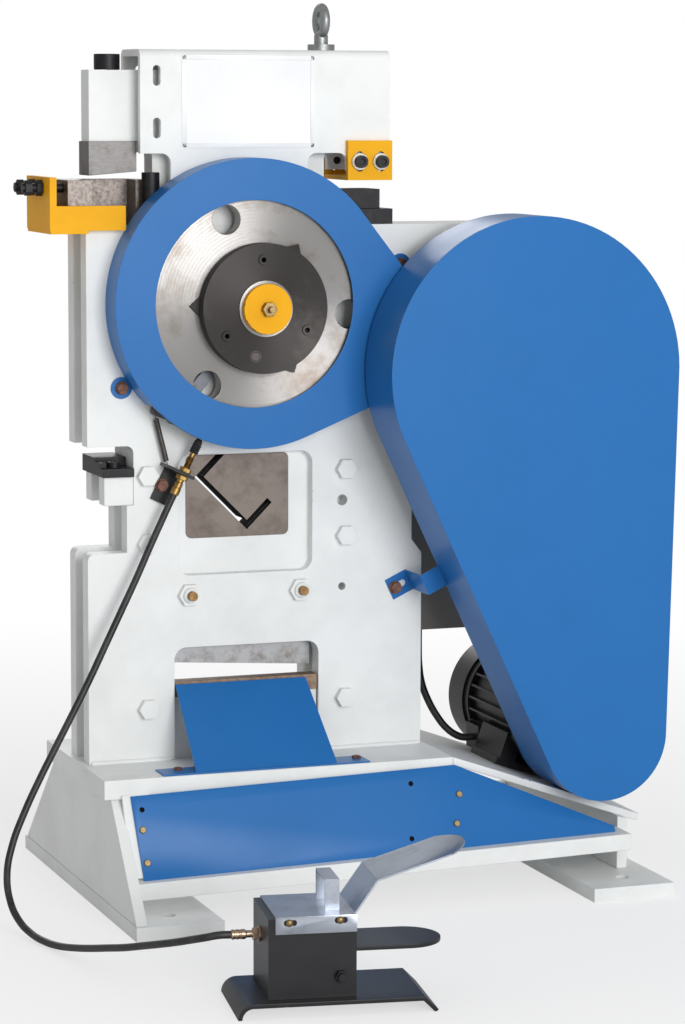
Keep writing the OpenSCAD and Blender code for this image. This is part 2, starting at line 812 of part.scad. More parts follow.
module notch_set_screws() {
    color(black) {
        for (y = set_screw_y) translate([die_x0, y, set_screw_z]) rotate([0, -90, 0]) {
            cylinder(h = set_screw_len, r = set_screw_r);
            translate([0, 0, die_x0 - holder_x0]) cylinder(h = 8, r = 10.4, $fn = 6);
            translate([0, 0, die_x0 - holder_x0 + 14]) cylinder(h = 9, r = 9.8, $fn = 6);
        }
        translate([clamp_c[0], clamp_c[1], bed_z]) cylinder(h = clamp_h, r = clamp_r);
    }
}

module notch_blade() {
    x1 = notch_x0 + notch_w;
    z0 = notch_blade_z - 2;
    color(steel) along_y(blade_y[0], blade_y[1])
        polygon([[notch_x0, z0], [x1, z0 + 5], [x1, arm_z0], [notch_x0, arm_z0]]);
}

module arm_bolt() {
    color(black) translate([-316, y_mid, arm_z1]) cylinder(h = 20, r = 16.5);
}

// Punching station
stripper_screw_r = 5;
stripper_washer_r = 11;
stripper_floor = 6;
stripper_h = 51;

module punch_die() {
    color(black) difference() {
        union() {
            box([-12, 56], [0, y_rear], [bed_z, bed_z + 20]);
            box([-12, 44], [16, y_rear - 16], [bed_z, punch_die_z]);
        }
        translate([punch_c[0], punch_c[1], bed_z - eps]) cylinder(h = 80, r = punch_r + 1);
    }
}

module stripper_bracket() {
    x = [stripper_x0, stripper_x0 + stripper_w];
    z = [stripper_z0, stripper_z0 + stripper_h];
    slot_half = stripper_screw_r + screw_gap;
    color(yellow) difference() {
        union() {
            box(x, [-stripper_wall - ram_clear, -ram_clear], z);
            box(x, [y_rear + ram_clear, y_rear + ram_clear + stripper_wall], z);
            box(x, [-stripper_wall - ram_clear, y_rear + ram_clear + stripper_wall],
                [stripper_z0, stripper_z0 + stripper_floor]);
        }
        for (sx = stripper_screw_x) soft_box([sx - slot_half, sx + slot_half], [-60, y_rear + 60],
            [stripper_screw_z - stripper_slot / 2, stripper_screw_z + stripper_slot / 2], stripper_screw_r);
        translate([punch_c[0], punch_c[1], stripper_z0 - eps]) cylinder(h = 20, r = holder_r + 4);
    }
}

module stripper_screw(x) {
    y = -stripper_wall - 2 * ram_clear;
    rod_y([x, stripper_screw_z], y - 8, channel_t, stripper_screw_r);
    rod_y([x, stripper_screw_z], y - 2.5, y, stripper_washer_r);
    tube_y([x, stripper_screw_z], y - 11, y - 2.5, 4, 8);
}

module stripper_screws() {
    color("#8B8B8F") for (x = stripper_screw_x) {
        stripper_screw(x);
        translate([0, y_rear, 0]) mirror([0, 1, 0]) stripper_screw(x);
    }
}

// Side tool on its ledge
ledge_x = [-335, notch_high_x];
side_tool_h = 11;
side_tool_over = 6;
side_tool_back = 36;
side_tool_rail = 9;
side_screw_c = [-318, 16];
side_screw_r = 9;
side_screw_h = 7;

module tool_ledge() {
    color(white) for (y = [[0, plate_t], [y_gap1, y_rear]])
        box(ledge_x, y, [notch_low_z[1], notch_high_z[0]]);
}

module side_tool() {
    x = [ledge_x[0] - 3, notch_high_x - 0.5];
    z = notch_high_z[0];
    color(black) {
        box(x, [-side_tool_over, y_rear + side_tool_over], [z, z + side_tool_h]);
        box(x, [side_tool_back, y_rear + side_tool_over], [z, z + 2 * side_tool_h]);
        box([x[0], x[0] + side_tool_rail], [side_tool_rail, side_tool_back + eps],
            [z, z + 1.6 * side_tool_h]);
        translate([side_screw_c[0], side_screw_c[1], z + side_tool_h]) difference() {
            cylinder(h = side_screw_h, r = side_screw_r);
            translate([0, 0, 2]) cylinder(h = side_screw_h, r = side_screw_r / 2, $fn = 6);
        }
    }
}

// Section shear: fixed die in the front plate, blade in the ram
section_at = [-209.5, 546.5];
section_gap = 0.3;

module section_hole() {
    translate(section_at) rotate(-45) {
        square([section_web, section_t]);
        square([section_t, section_leg]);
        translate([section_web - section_t, 0]) square([section_t, section_leg]);
    }
}

module section_die() {
    x = [die_x[0] + section_gap, die_x[1] - section_gap];
    z = [die_z[0], die_z[1] - section_gap];
    color("#857C78") difference() {
        soft_box(x, [die_pocket, plate_t], z, 8);
        along_y(-eps, plate_t + eps) section_hole();
    }
}

// Flat shear: bed and lower blade in the front plate's window, and the chute in front of it
shear_x = [low_window_x[0] + 1, low_window_x[1] - 1];
shear_z = 282;
blade_h = 20;

module lower_shear_blade() {
    color("#8A5A3C") box(shear_x, [3, plate_t - 0.2], [shear_z - blade_h, shear_z]);
}

chute_top_x = [shear_x[0], -63];
chute_low_x = [shear_x[0] - 2, -53];
chute_lean = 45;
chute_seat_y = [base_y[0] + 2, -62];
chute_ear = 44;

module chute() {
    drop = (shear_z - 4 - base_z - sheet_t / 4) / cos(chute_lean);
    color(blue) {
        translate([0, 1, shear_z - 4]) rotate([90 - chute_lean, 0, 0]) linear_extrude(sheet_t) polygon([
            [chute_top_x[0], 0], [chute_low_x[0], -drop], [chute_low_x[1], -drop], [chute_top_x[1], 0]
        ]);
        box([chute_low_x[0] - chute_ear, chute_low_x[1] + chute_ear], chute_seat_y,
            [base_z, base_z + sheet_t]);
    }
}

// Electrical box, its lead and the motor on the sloping plate
box_x = [60, 200];
box_d = 96;
box_z = [318, 558];
lid_gap = 0.1;
lid_over = 3;

module electrical_box() {
    y = [y_rear, y_rear + box_d];
    t = sheet_t;
    color("#8F8A82") {
        difference() {
            box(box_x, y, box_z);
            box([box_x[0] + t, box_x[1] - t], [y[0] + t, y[1] + eps], [box_z[0] + t, box_z[1] - t]);
        }
        box([box_x[0] - lid_over, box_x[1] + lid_over], [y[1] + lid_gap, y[1] + lid_gap + 2 * t],
            [box_z[0] + 0.5, box_z[1] + lid_over]);
    }
}

module motor_lead() {
    color(black) swept_tube(lead_route, lead_r, 10);
}

motor_r = 80;
motor_y = [-30, 150];
motor_off = motor_c - [base_x1, base_z];
motor_height = motor_off * [sin(motor_plate_slope), cos(motor_plate_slope)];
motor_fins = 30;
motor_seat = 0.02;
motor_foot_x = [-66, 42];
motor_foot_w = 24;
motor_foot_d = 88;
motor_foot_h = 45;
motor_flange = 14;
motor_cowl = 50;
terminal_x = [-81, -50];
terminal_y = [94, 138];
terminal_z = [-61, -27];

module motor() {
    color(black) difference() {
        union() {
            rod_y(motor_c, motor_y[0], motor_y[1], motor_r - 8);
            rod_y(motor_c, motor_y[0], motor_y[0] + motor_flange, motor_r);
            rod_y(motor_c, motor_y[1] - motor_flange, motor_y[1], motor_r);
            rod_y(motor_c, motor_y[1], motor_y[1] + motor_cowl, motor_r + 3);
            translate([motor_c[0], 0, motor_c[1]]) {
                for (i = [0 : motor_fins - 1]) rotate([0, 360 / motor_fins * i, 0])
                    translate([-1.5, motor_y[0] + motor_flange - eps, 0])
                    cube([3, motor_y[1] - motor_y[0] - 2 * (motor_flange - eps), motor_r - 1]);
                rotate([0, motor_plate_slope, 0]) {
                    for (x = motor_foot_x) translate([x, 0, motor_seat - motor_height])
                        cube([motor_foot_w, motor_foot_d, motor_foot_h]);
                    translate([motor_foot_x[0] - 4, 0, motor_seat - motor_height])
                        cube([motor_foot_x[1] - motor_foot_x[0] + motor_foot_w + 8, motor_foot_d, 10]);
                }
            }
            translate([motor_c[0], 0, motor_c[1]]) box(terminal_x, terminal_y, terminal_z);
        }
        rod_y(motor_c, motor_y[0] - eps, motor_y[1], motor_shaft_r + run_fit);
    }
}

// Belts between the motor pulley and the flywheel
function groove_y(i) = pulley_y0 + pulley_w / 2 + (i - 0.5) * groove_pitch;

module drive_belts() {
    color(black) for (i = [0, 1]) difference() {
        along_y(groove_y(i) - belt_w / 2, groove_y(i) + belt_w / 2)
            teardrop(fly_c, flywheel_r, motor_c, motor_pulley_r);
        along_y(groove_y(i) - belt_w, groove_y(i) + belt_w)
            teardrop(fly_c, flywheel_r - belt_h, motor_c, motor_pulley_r - belt_h);
    }
}

module belt_grooves(c, r) {
    for (i = [0, 1]) tube_y(c, groove_y(i) - belt_w / 2 - belt_gap, groove_y(i) + belt_w / 2 + belt_gap,
        r - belt_h - belt_gap, r + 5);
}

// Drive train: flywheel, first stage at the back, second stage and main gear at the front
module flywheel() {
    hub_r = counter_r + 22;
    color("#55585C") difference() {
        union() {
            tube_y(fly_c, pulley_y0, pulley_y0 + pulley_w, flywheel_r - 38, flywheel_r);
            rod_y(fly_c, pulley_y0 + 14, pulley_y0 + 30, flywheel_r - 30);
            rod_y(fly_c, pulley_y0, pulley_y0 + pulley_w + 16, hub_r);
        }
        belt_grooves(fly_c, flywheel_r);
        rod_y(fly_c, pulley_y0 - eps, pulley_y0 + pulley_w + 20, counter_r + run_fit);
    }
}

module drive_shaft() {
    color(steel) {
        rod_y(fly_c, pulley_y0 - 6, stage_y0 + stage_face + 4, counter_r);
        toothed_wheel(fly_c, stage_pinion_teeth, stage_m, stage_y0, stage_y0 + stage_face, stage1_dir + 180);
    }
}

module intermediate_shaft() {
    color(steel) {
        rod_y(mid_c, gear_y0 - 3, stage_y0 + stage_face + 4, counter_r);
        toothed_wheel(mid_c, pinion_teeth, gear_m, gear_y0, gear_y1, stage2_dir + 180);
    }
}

module stage_wheel() {
    color(steel) difference() {
        toothed_wheel(mid_c, stage_teeth, stage_m, stage_y0, stage_y0 + stage_face,
            stage1_dir + 180 / stage_teeth);
        rod_y(mid_c, stage_y0 - eps, stage_y0 + stage_face + eps, counter_r + run_fit);
    }
}

module main_gear() {
    light_circle = gear_root_r - light_hole_rim - light_hole_r;
    color(steel) difference() {
        toothed_wheel(gear_c, gear_teeth, gear_m, gear_y0, gear_y1, stage2_dir + 180 / gear_teeth);
        rod_y(gear_c, gear_y0 - eps, gear_y1 + eps, nose_r + run_fit);
        for (a = [112, 234, 355])
            rod_y(gear_c + light_circle * [cos(a), sin(a)], gear_y0 - eps, gear_y1 + eps, light_hole_r);
    }
}

module eccentric_shaft() {
    color(steel) {
        rod_y(gear_c, clutch_y1 - clutch_t - 2, 0, nose_r);
        rod_y(gear_c, -2, y_ram0 + 1, journal_r);
        rod_y(gear_c + [0, throw], y_ram0, y_ram1, eccentric_r);
        rod_y(gear_c, y_ram1 - 1, y_rear, journal_r);
    }
}

clutch_screw_r = 6.5;
clutch_screw_circle = 62;
clutch_screw_turn = [93, 213, 333];

module clutch_disc() {
    y0 = clutch_y1 - clutch_t;
    color("#3A3736") difference() {
        union() {
            rod_y(gear_c, y0, clutch_y1, clutch_r);
            for (a = [58, 178, 298]) translate([gear_c[0], 0, gear_c[1]]) along_y(clutch_y1, gear_y0 - 0.5)
                rotate(a) translate([clutch_r - 6, 0]) rotate(45) square(25.5, center = true);
        }
        rod_y(gear_c, y0 - eps, gear_y0, nose_r + run_fit);
        for (a = clutch_screw_turn) rod_y(gear_c + clutch_screw_circle * [cos(a), sin(a)],
            y0 - eps, y0 + 7, clutch_screw_r + screw_gap);
    }
    color("#4A4A4E") for (a = clutch_screw_turn)
        tube_y(gear_c + clutch_screw_circle * [cos(a), sin(a)], y0 - 2, y0 + 7, 3.2, clutch_screw_r);
}

module shaft_cap() {
    y0 = clutch_y1 - clutch_t - 2;
    color(yellow) {
        rod_y(gear_c, y0 - 8, y0, nose_r - 4);
        hex_y(gear_c, y0 - 17, y0 - 8, 17);
        rod_y(gear_c, y0 - 27, y0 - 17, 4);
    }
}

module motor_rotor() {
    color(steel) difference() {
        union() {
            rod_y(motor_c, pulley_y0 - 6, motor_y[1] - 12, motor_shaft_r);
            rod_y(motor_c, pulley_y0, pulley_y0 + pulley_w, motor_pulley_r);
        }
        belt_grooves(motor_c, motor_pulley_r);
    }
}

// Ram: trunk between the plates, arms in the top channel, tools at its ends and in its openings
holder_r = 20;
ram_bottom = 326;
ram_window = eccentric_r + throw + 2;
right_fillet = 26;

module ram() {
    color(white) difference() {
        union() {
            box([trunk_x0, trunk_x1], [y_ram0, y_ram1], [ram_bottom, arm_z0 + eps]);
            box([arm_x0, arm_x1], [y_ram0, y_ram1], [arm_z0, arm_z1]);
            box([trunk_x0 - arm_fillet, trunk_x0], [y_ram0, y_ram1], [arm_z0 - arm_fillet, arm_z0 + eps]);
            box([trunk_x1, trunk_x1 + right_fillet], [y_ram0, y_ram1], [arm_z0 - right_fillet, arm_z0 + eps]);
        }
        rod_y([trunk_x0 - arm_fillet, arm_z0 - arm_fillet], y_ram0 - eps, y_ram1 + eps, arm_fillet);
        rod_y([trunk_x1 + right_fillet, arm_z0 - right_fillet], y_ram0 - eps, y_ram1 + eps, right_fillet);
        soft_box([gear_c[0] - ram_window, gear_c[0] + ram_window], [y_ram0 - eps, y_ram1 + eps],
            [gear_c[1] - ram_window, gear_c[1] + ram_window + stroke], 20);
        soft_box(die_x, [y_ram0 - eps, y_ram1 + eps], die_z, 8);
    }
}

module ram_tools() {
    x = [die_x[0] + section_gap, die_x[1] - section_gap];
    z = [die_z[0], die_z[1] - section_gap];
    color(steel) {
        difference() {
            soft_box(x, [y_ram0, y_ram1], z, 8);
            along_y(y_ram0 - eps, y_ram1 + eps) section_hole();
        }
        along_y(y_ram0, y_ram1) polygon([
            [low_window_x[0] + 4, ram_bottom - 22], [low_window_x[1] - 4, ram_bottom - 34],
            [low_window_x[1] - 4, ram_bottom], [low_window_x[0] + 4, ram_bottom]
        ]);
        translate([punch_c[0], punch_c[1], arm_z0 - 27]) cylinder(h = 27, r = holder_r);
        translate([punch_c[0], punch_c[1], arm_z0 - 39]) cylinder(h = 13, r = punch_r);
    }
}

// Trip: cable stop, adjuster and boot, return spring and the lever behind the gear cover
module on_stop() {
    translate([stop_c[0], 0, stop_c[1]]) rotate([0, 90 - stop_dir, 0]) children();
}

stop_t = 4;
stop_bolt = [-260, cover_low - 47];
adjuster_r = 4.5;
adjuster_low = -29;
boot_z = [29, 49];
boot_r = 6.5;
boot_tip = 6;
wire_r = 0.8;
wire_hole_r = 3;

module cable_bracket() {
    color(black) on_stop() {
        difference() {
            translate([-26, -38, -stop_t / 2]) cube([38, 38, stop_t]);
            translate([0, stop_y, -10]) cylinder(h = 20, r = adjuster_r + screw_gap);
        }
        translate([-19, -stop_t, -46]) cube([25, stop_t, 46]);
    }
}

module cable_adjuster() {
    color(brass) on_stop() translate([0, stop_y, 0]) difference() {
        union() {
            translate([0, 0, adjuster_low]) cylinder(h = boot_z[0] - adjuster_low, r = adjuster_r);
            translate([0, 0, adjuster_low]) cylinder(h = 16, r = 6);
            translate([0, 0, stop_t / 2]) cylinder(h = 6, r = 8, $fn = 6);
            translate([0, 0, -stop_t / 2 - 6]) cylinder(h = 6, r = 8, $fn = 6);
        }
        cylinder(h = 60, r = wire_hole_r);
    }
    color(black) on_stop() translate([0, stop_y, 0]) difference() {
        union() {
            translate([0, 0, boot_z[0] + 0.1]) cylinder(h = boot_z[1] - boot_z[0] - boot_tip, r = boot_r);
            translate([0, 0, boot_z[1] - boot_tip]) cylinder(h = boot_tip, r1 = boot_r, r2 = 4);
        }
        translate([0, 0, boot_z[0] - eps]) cylinder(h = 40, r = wire_hole_r);
    }
}

wire_reach = 60;
wire_end = stop_c + wire_reach * [cos(stop_dir), sin(stop_dir)];

module trip_lever() {
    y = [lever_y0, lever_y0 + lever_t];
    color("#6B6E73") {
        difference() {
            along_y(y[0], y[1]) {
                bar_outline(lever_c, spring_hook, 6);
                bar_outline(lever_c, wire_end, 6);
                bar_outline(lever_c, gear_c + [-42, -62], 8);
                translate(lever_c) circle(9);
            }
            rod_y(lever_c, y[0] - eps, y[1] + eps, lever_pin_r + run_fit);
        }
        rod_y(wire_end, stop_y - 3, y[1], 3.5);
        on_stop() translate([0, stop_y, boot_z[1] - 2]) cylinder(h = wire_reach + 1 - boot_z[1], r = wire_r);
    }
}

module trip_pin() {
    color(steel) {
        rod_y(lever_c, lever_y0 - 1, 0, lever_pin_r);
        rod_y(lever_c, lever_y0 - 1.4, lever_y0 - 0.4, lever_pin_r + 2);
    }
}

// Return spring: one unbroken coil, straight for a wire's width at both ends
spring_y = lever_y0 + lever_t / 2;
spring_top = [spring_hook[0], spring_y, spring_hook[1] - spring_hook_drop];
spring_low = [spring_foot[0], spring_y, spring_foot[1]];
spring_axis = unit(spring_low - spring_top);
spring_side = [0, 1, 0];
spring_other = cross(spring_axis, spring_side);
spring_len = norm(spring_low - spring_top);
spring_lead = 2 * spring_wire_r;
spring_steps = 8;
spring_path = concat(
    [spring_top + spring_r * spring_side],
    [for (i = [0 : spring_turns * spring_steps])
        let (a = 360 * i / spring_steps,
             s = spring_lead + (spring_len - 2 * spring_lead) * i / (spring_turns * spring_steps))
        spring_top + s * spring_axis + spring_r * (cos(a) * spring_side + sin(a) * spring_other)],
    [spring_low + spring_r * spring_side]
);
spring_self_gap = min([for (i = [1 : len(spring_path) - 2 - spring_steps])
    norm(spring_path[i + spring_steps] - spring_path[i])]) - 2 * spring_wire_r;
echo(spring_least_gap = spring_self_gap, clear = spring_self_gap > spring_gap_limit);

module trip_spring() {
    color(steel) swept_tube(spring_path, spring_wire_r, 6);
}

module trip_cable() {
    color(black) swept_tube(cable_route, cable_r, cable_sides);
}

// Foot pedal in its own axes
module on_pedal() {
    translate([pedal_at[0], pedal_at[1], 0]) rotate([0, 0, pedal_turn]) children();
}

pedal_x0 = -19;
pedal_y0 = -16;
curl_r = pedal_plate_z + pedal_plate_t;

module pedal_base() {
    x1 = pedal_x0 + pedal_len;
    top = curl_r;
    color(black) on_pedal() {
        box([pedal_x0, x1], [pedal_y0, pedal_y0 + pedal_dep], [pedal_plate_z, top]);
        intersection() {
            tube_y([pedal_x0, 0], pedal_y0, pedal_y0 + pedal_dep, pedal_plate_z, curl_r);
            box([pedal_x0 - curl_r, pedal_x0], [pedal_y0, pedal_y0 + pedal_dep], [0, curl_r]);
        }
        along_y(pedal_y0, pedal_y0 + pedal_dep)
            translate([x1, 0]) polygon([[0, pedal_plate_z], [0, top], [2, top], [18, 2], [15, 0], [13, 0]]);
    }
}

module pedal_box() {
    d = pedal_box_d;
    color(black) on_pedal() difference() {
        box([0, pedal_box_w], [0, d], [curl_r, pedal_box_h]);
        box([pedal_box_t, pedal_box_w + eps], [pedal_box_t, d - pedal_box_t],
            [curl_r - eps, pedal_box_h - pedal_box_t]);
        rod_y(pedal_pin_at, -10, d + 10, pedal_pin_r + run_fit);
        translate([-eps, fitting_y, fitting_z]) rotate([0, 90, 0])
            cylinder(h = 20, r = fitting_r + screw_gap);
    }
}

fitting_y = pedal_box_d / 2 + 3;
fitting_r = 4;
fitting_len = 34;
lip_h = 18;
guard_bend = [128, 149];
guard_slope = 17.3;
guard_len = 115;
guard_end_r = 55;
guard_y = [6, pedal_box_d - 6];
handle_x = [69, 86];
handle_y = [22, pedal_box_d - 24];
handle_z = pedal_box_h + 38;

module guard_tongue(t) {
    half = (guard_y[1] - guard_y[0]) / 2;
    sweep = asin(half / guard_end_r);
    linear_extrude(t) polygon(concat(
        [[-eps, half], [-eps, -half]],
        [for (i = [-1 : 0.125 : 1])
            [guard_len - guard_end_r, 0] + guard_end_r * [cos(sweep * i), sin(sweep * i)]]
    ));
}

module pedal_cover() {
    t = pedal_cover_t;
    x = [pedal_cover_x0, pedal_box_w];
    z = pedal_box_h;
    rise = guard_bend - [x[1], z];
    color("#AEB6C2") on_pedal() {
        box(x, [-t, pedal_box_d + t], [z, z + t]);
        box(x, [-t, 0], [z - lip_h, z + t]);
        box(x, [pedal_box_d, pedal_box_d + t], [z - lip_h, z + t]);
        translate([x[1], guard_y[0] + tuck, z]) rotate([0, -atan2(rise[1], rise[0]), 0])
            cube([norm(rise) + 1, guard_y[1] - guard_y[0] - 2 * tuck, t]);
        translate([guard_bend[0], (guard_y[0] + guard_y[1]) / 2, guard_bend[1]]) rotate([0, -guard_slope, 0])
            guard_tongue(t);
        box(handle_x, [handle_y[0], handle_y[0] + t], [z, handle_z]);
        box(handle_x, [handle_y[1] - t, handle_y[1]], [z, handle_z]);
        box(handle_x, handle_y, [handle_z - t, handle_z]);
    }
}

module pedal_pin() {
    color("#5B5D62") on_pedal() {
        rod_y(pedal_pin_at, -12, pedal_box_d + 12, pedal_pin_r);
        hex_y(pedal_pin_at, -7, 0, 13);
        hex_y(pedal_pin_at, pedal_box_d, pedal_box_d + 7, 13);
    }
}

module pedal_lever() {
    y = [pedal_box_d / 2 - pedal_lever_w / 2, pedal_box_d / 2 + pedal_lever_w / 2];
    tip_x = pedal_pin_at[0] + pedal_reach - pedal_lever_w / 2;
    z = [pedal_lever_z, pedal_lever_z + pedal_lever_t];
    color(black) on_pedal() difference() {
        union() {
            rod_y(pedal_pin_at, y[0], y[1], pedal_pin_r + 5);
            box([pedal_pin_at[0] - 4, pedal_pin_at[0] + 4], y, [pedal_pin_at[1], z[1] - eps]);
            box([pedal_pin_at[0] - 4, tip_x], y, z);
            translate([tip_x, pedal_box_d / 2, z[0]]) cylinder(h = pedal_lever_t, r = pedal_lever_w / 2);
        }
        rod_y(pedal_pin_at, y[0] - eps, y[1] + eps, pedal_pin_r + run_fit);
    }
}

module cable_fitting() {
    color(brass) on_pedal() translate([0, fitting_y, fitting_z]) rotate([0, 90, 0]) {
        translate([0, 0, -fitting_len]) cylinder(h = 18, r = 6);
        translate([0, 0, -fitting_len]) cylinder(h = fitting_len + pedal_box_t, r = fitting_r);
        translate([0, 0, -9]) cylinder(h = 6, r = 8, $fn = 6);
        translate([0, 0, -3]) cylinder(h = 3, r = 9);
    }
}

placed() base_top_plate();
placed() base_side_plates();
placed() base_feet();
placed() base_front_panel();
placed() base_sills();
placed() motor_plate();
placed() front_plate();
placed() rear_plate();
placed() frame_spacers();
placed() tie_bolts();
placed() gib_screws();
placed() top_channel();
placed() eye_bolt();
placed() label_plate();
placed() shaft_bushes();
placed() gear_cover();
placed() belt_cover();
placed() belt_cover_bracket();
placed() rear_gear_cover();
placed() cover_bolts();
placed() notch_holder();
placed() notch_die();
placed() notch_set_screws();
placed() punch_die();
placed() stripper_screws();
placed() tool_ledge();
placed() side_tool();
placed() section_die();
placed() lower_shear_blade();
placed() chute();
placed() electrical_box();
placed() motor_lead();
placed() motor();
placed() drive_belts();
placed() cable_bracket();
placed() cable_adjuster();
placed() trip_spring();
placed() trip_pin();
placed() pedal_base();
placed() pedal_box();
placed() pedal_cover();
placed() pedal_pin();
placed() cable_fitting();
placed() trip_cable();
placed() ram();
placed() ram_tools();
placed() notch_blade();
placed() main_gear();
placed() eccentric_shaft();
placed() clutch_disc();
placed() intermediate_shaft();
placed() stage_wheel();
placed() flywheel();
placed() drive_shaft();
placed() motor_rotor();
placed() shaft_cap();
placed() stripper_bracket();
placed() trip_lever();
placed() pedal_lever();
placed() arm_bolt();
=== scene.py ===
import json
import math
import bpy
from mathutils import Matrix, Vector

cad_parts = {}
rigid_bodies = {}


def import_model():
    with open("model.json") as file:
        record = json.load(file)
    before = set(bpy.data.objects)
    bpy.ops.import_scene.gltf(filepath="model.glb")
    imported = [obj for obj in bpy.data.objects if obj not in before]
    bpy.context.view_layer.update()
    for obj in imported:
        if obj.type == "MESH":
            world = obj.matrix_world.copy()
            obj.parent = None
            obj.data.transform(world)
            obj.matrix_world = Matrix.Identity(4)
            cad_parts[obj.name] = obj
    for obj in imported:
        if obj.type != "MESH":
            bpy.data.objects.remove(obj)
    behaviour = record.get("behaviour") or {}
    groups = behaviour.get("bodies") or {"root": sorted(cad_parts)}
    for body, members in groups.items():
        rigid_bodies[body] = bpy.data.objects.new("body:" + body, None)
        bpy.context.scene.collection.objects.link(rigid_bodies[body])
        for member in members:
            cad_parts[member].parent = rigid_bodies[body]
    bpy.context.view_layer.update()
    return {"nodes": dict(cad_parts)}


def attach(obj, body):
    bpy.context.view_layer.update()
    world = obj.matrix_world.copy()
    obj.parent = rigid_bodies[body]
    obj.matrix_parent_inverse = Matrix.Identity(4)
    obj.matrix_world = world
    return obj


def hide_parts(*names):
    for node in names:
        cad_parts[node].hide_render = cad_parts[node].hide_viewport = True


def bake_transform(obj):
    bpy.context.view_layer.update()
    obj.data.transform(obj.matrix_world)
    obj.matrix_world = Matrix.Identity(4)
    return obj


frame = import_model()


# Camera: a little to the left of the machine at chest height, looking slightly down through a long
# lens, so that the front plate, the left side of the base and the belt cover's left wall all show.
stand = Vector((-1.479, -4.087, 1.036))
heading, dip, roll = math.radians(19.89), math.radians(7.20), math.radians(0.18)
ahead = Vector((math.sin(heading) * math.cos(dip), math.cos(heading) * math.cos(dip), -math.sin(dip)))
right = Vector((math.cos(heading), -math.sin(heading), 0))
above = right.cross(ahead)
turned_right = right * math.cos(roll) + above * math.sin(roll)
turned_up = above * math.cos(roll) - right * math.sin(roll)
bpy.ops.object.camera_add()
camera = bpy.context.object
camera.matrix_world = (Matrix.Translation(stand)
                       @ Matrix((turned_right, turned_up, -ahead)).transposed().to_4x4())
camera.data.sensor_fit = "VERTICAL"
film_mm, focal_px, picture_px = 36, 3300, 1024
camera.data.sensor_height = film_mm
camera.data.lens = film_mm * focal_px / picture_px
camera.data.clip_end = 60
bpy.context.scene.camera = camera


# Trip cable: a steel wire in a smooth black PVC sheath, screwed into the adjuster on the frame,
# bowed out to the left down to the floor and up again into the fitting on the pedal's box.
def at(x, y, z):
    """A point of the drawing in millimetres, as metres from the middle of the anchor holes."""
    return Vector((x - 10, y - 60, z)) / 1000


def linear(code):
    """An sRGB hex colour as linear red, green, blue and alpha."""
    parts = [int(code[i:i + 2], 16) / 255 for i in (1, 3, 5)]
    return tuple(c / 12.92 if c <= 0.04045 else ((c + 0.055) / 1.055) ** 2.4 for c in parts) + (1.0,)


def add_node(material, kind, settings=(), links=()):
    """Adds one node: settings by socket or property name, links as socket name to output."""
    node = material.node_tree.nodes.new(kind)
    for name, value in dict(settings).items():
        if name == "stops":
            stops = node.color_ramp.elements
            while len(stops) < len(value):
                stops.new(1.0)
            for stop, (place, level) in zip(stops, value):
                stop.position = place
                stop.color = level if isinstance(level, tuple) else (level, level, level, 1)
        elif isinstance(name, int) or name in node.inputs:
            node.inputs[name].default_value = value
        else:
            setattr(node, name, value)
    for name, output in dict(links).items():
        material.node_tree.links.new(output, node.inputs[name])
    return node


# PVC sheath: extruded, so it is smooth and softly shiny, with floor dust dulling it in patches.
pvc = bpy.data.materials.new("pvc_sheath")
pvc.use_nodes = True
pvc_shader = pvc.node_tree.nodes["Principled BSDF"]
pvc_place = add_node(pvc, "ShaderNodeTexCoord").outputs["Object"]
pvc_dust = add_node(pvc, "ShaderNodeTexNoise", {"Scale": 1000 / 25, "Detail": 5, "Roughness": 0.65},
                    {"Vector": pvc_place}).outputs["Fac"]
pvc_tone = add_node(pvc, "ShaderNodeValToRGB",
                    {"stops": [(0.40, linear("#17171A")), (0.75, linear("#3B3A38"))]}, {"Fac": pvc_dust})
pvc_dull = add_node(pvc, "ShaderNodeMapRange", {"To Min": 0.30, "To Max": 0.62}, {"Value": pvc_dust})
pvc_grain = add_node(pvc, "ShaderNodeTexNoise", {"Scale": 1000 / 2, "Detail": 2}, {"Vector": pvc_place})
pvc_bump = add_node(pvc, "ShaderNodeBump", {"Strength": 0.10, "Distance": 0.0003},
                    {"Height": pvc_grain.outputs["Fac"]})
pvc.node_tree.links.new(pvc_tone.outputs["Color"], pvc_shader.inputs["Base Color"])
pvc.node_tree.links.new(pvc_dull.outputs["Result"], pvc_shader.inputs["Roughness"])
pvc.node_tree.links.new(pvc_bump.outputs["Normal"], pvc_shader.inputs["Normal"])


def run_of_cord(name, points, thickness):
    """One smooth open curve through the route's points, as thick as the cord."""
    route = bpy.data.curves.new(name, "CURVE")
    route.dimensions = "3D"
    route.bevel_depth = thickness / 2000
    route.bevel_resolution = 5
    route.resolution_u = 6
    route.use_fill_caps = True
    spline = route.splines.new("BEZIER")
    spline.bezier_points.add(len(points) - 1)
    for knot, point in zip(spline.bezier_points, points):
        knot.co = at(*point)
        knot.handle_left_type = knot.handle_right_type = "AUTO"
    cord = bpy.data.objects.new(name, route)
    bpy.context.collection.objects.link(cord)
    route.materials.append(pvc)
    return cord


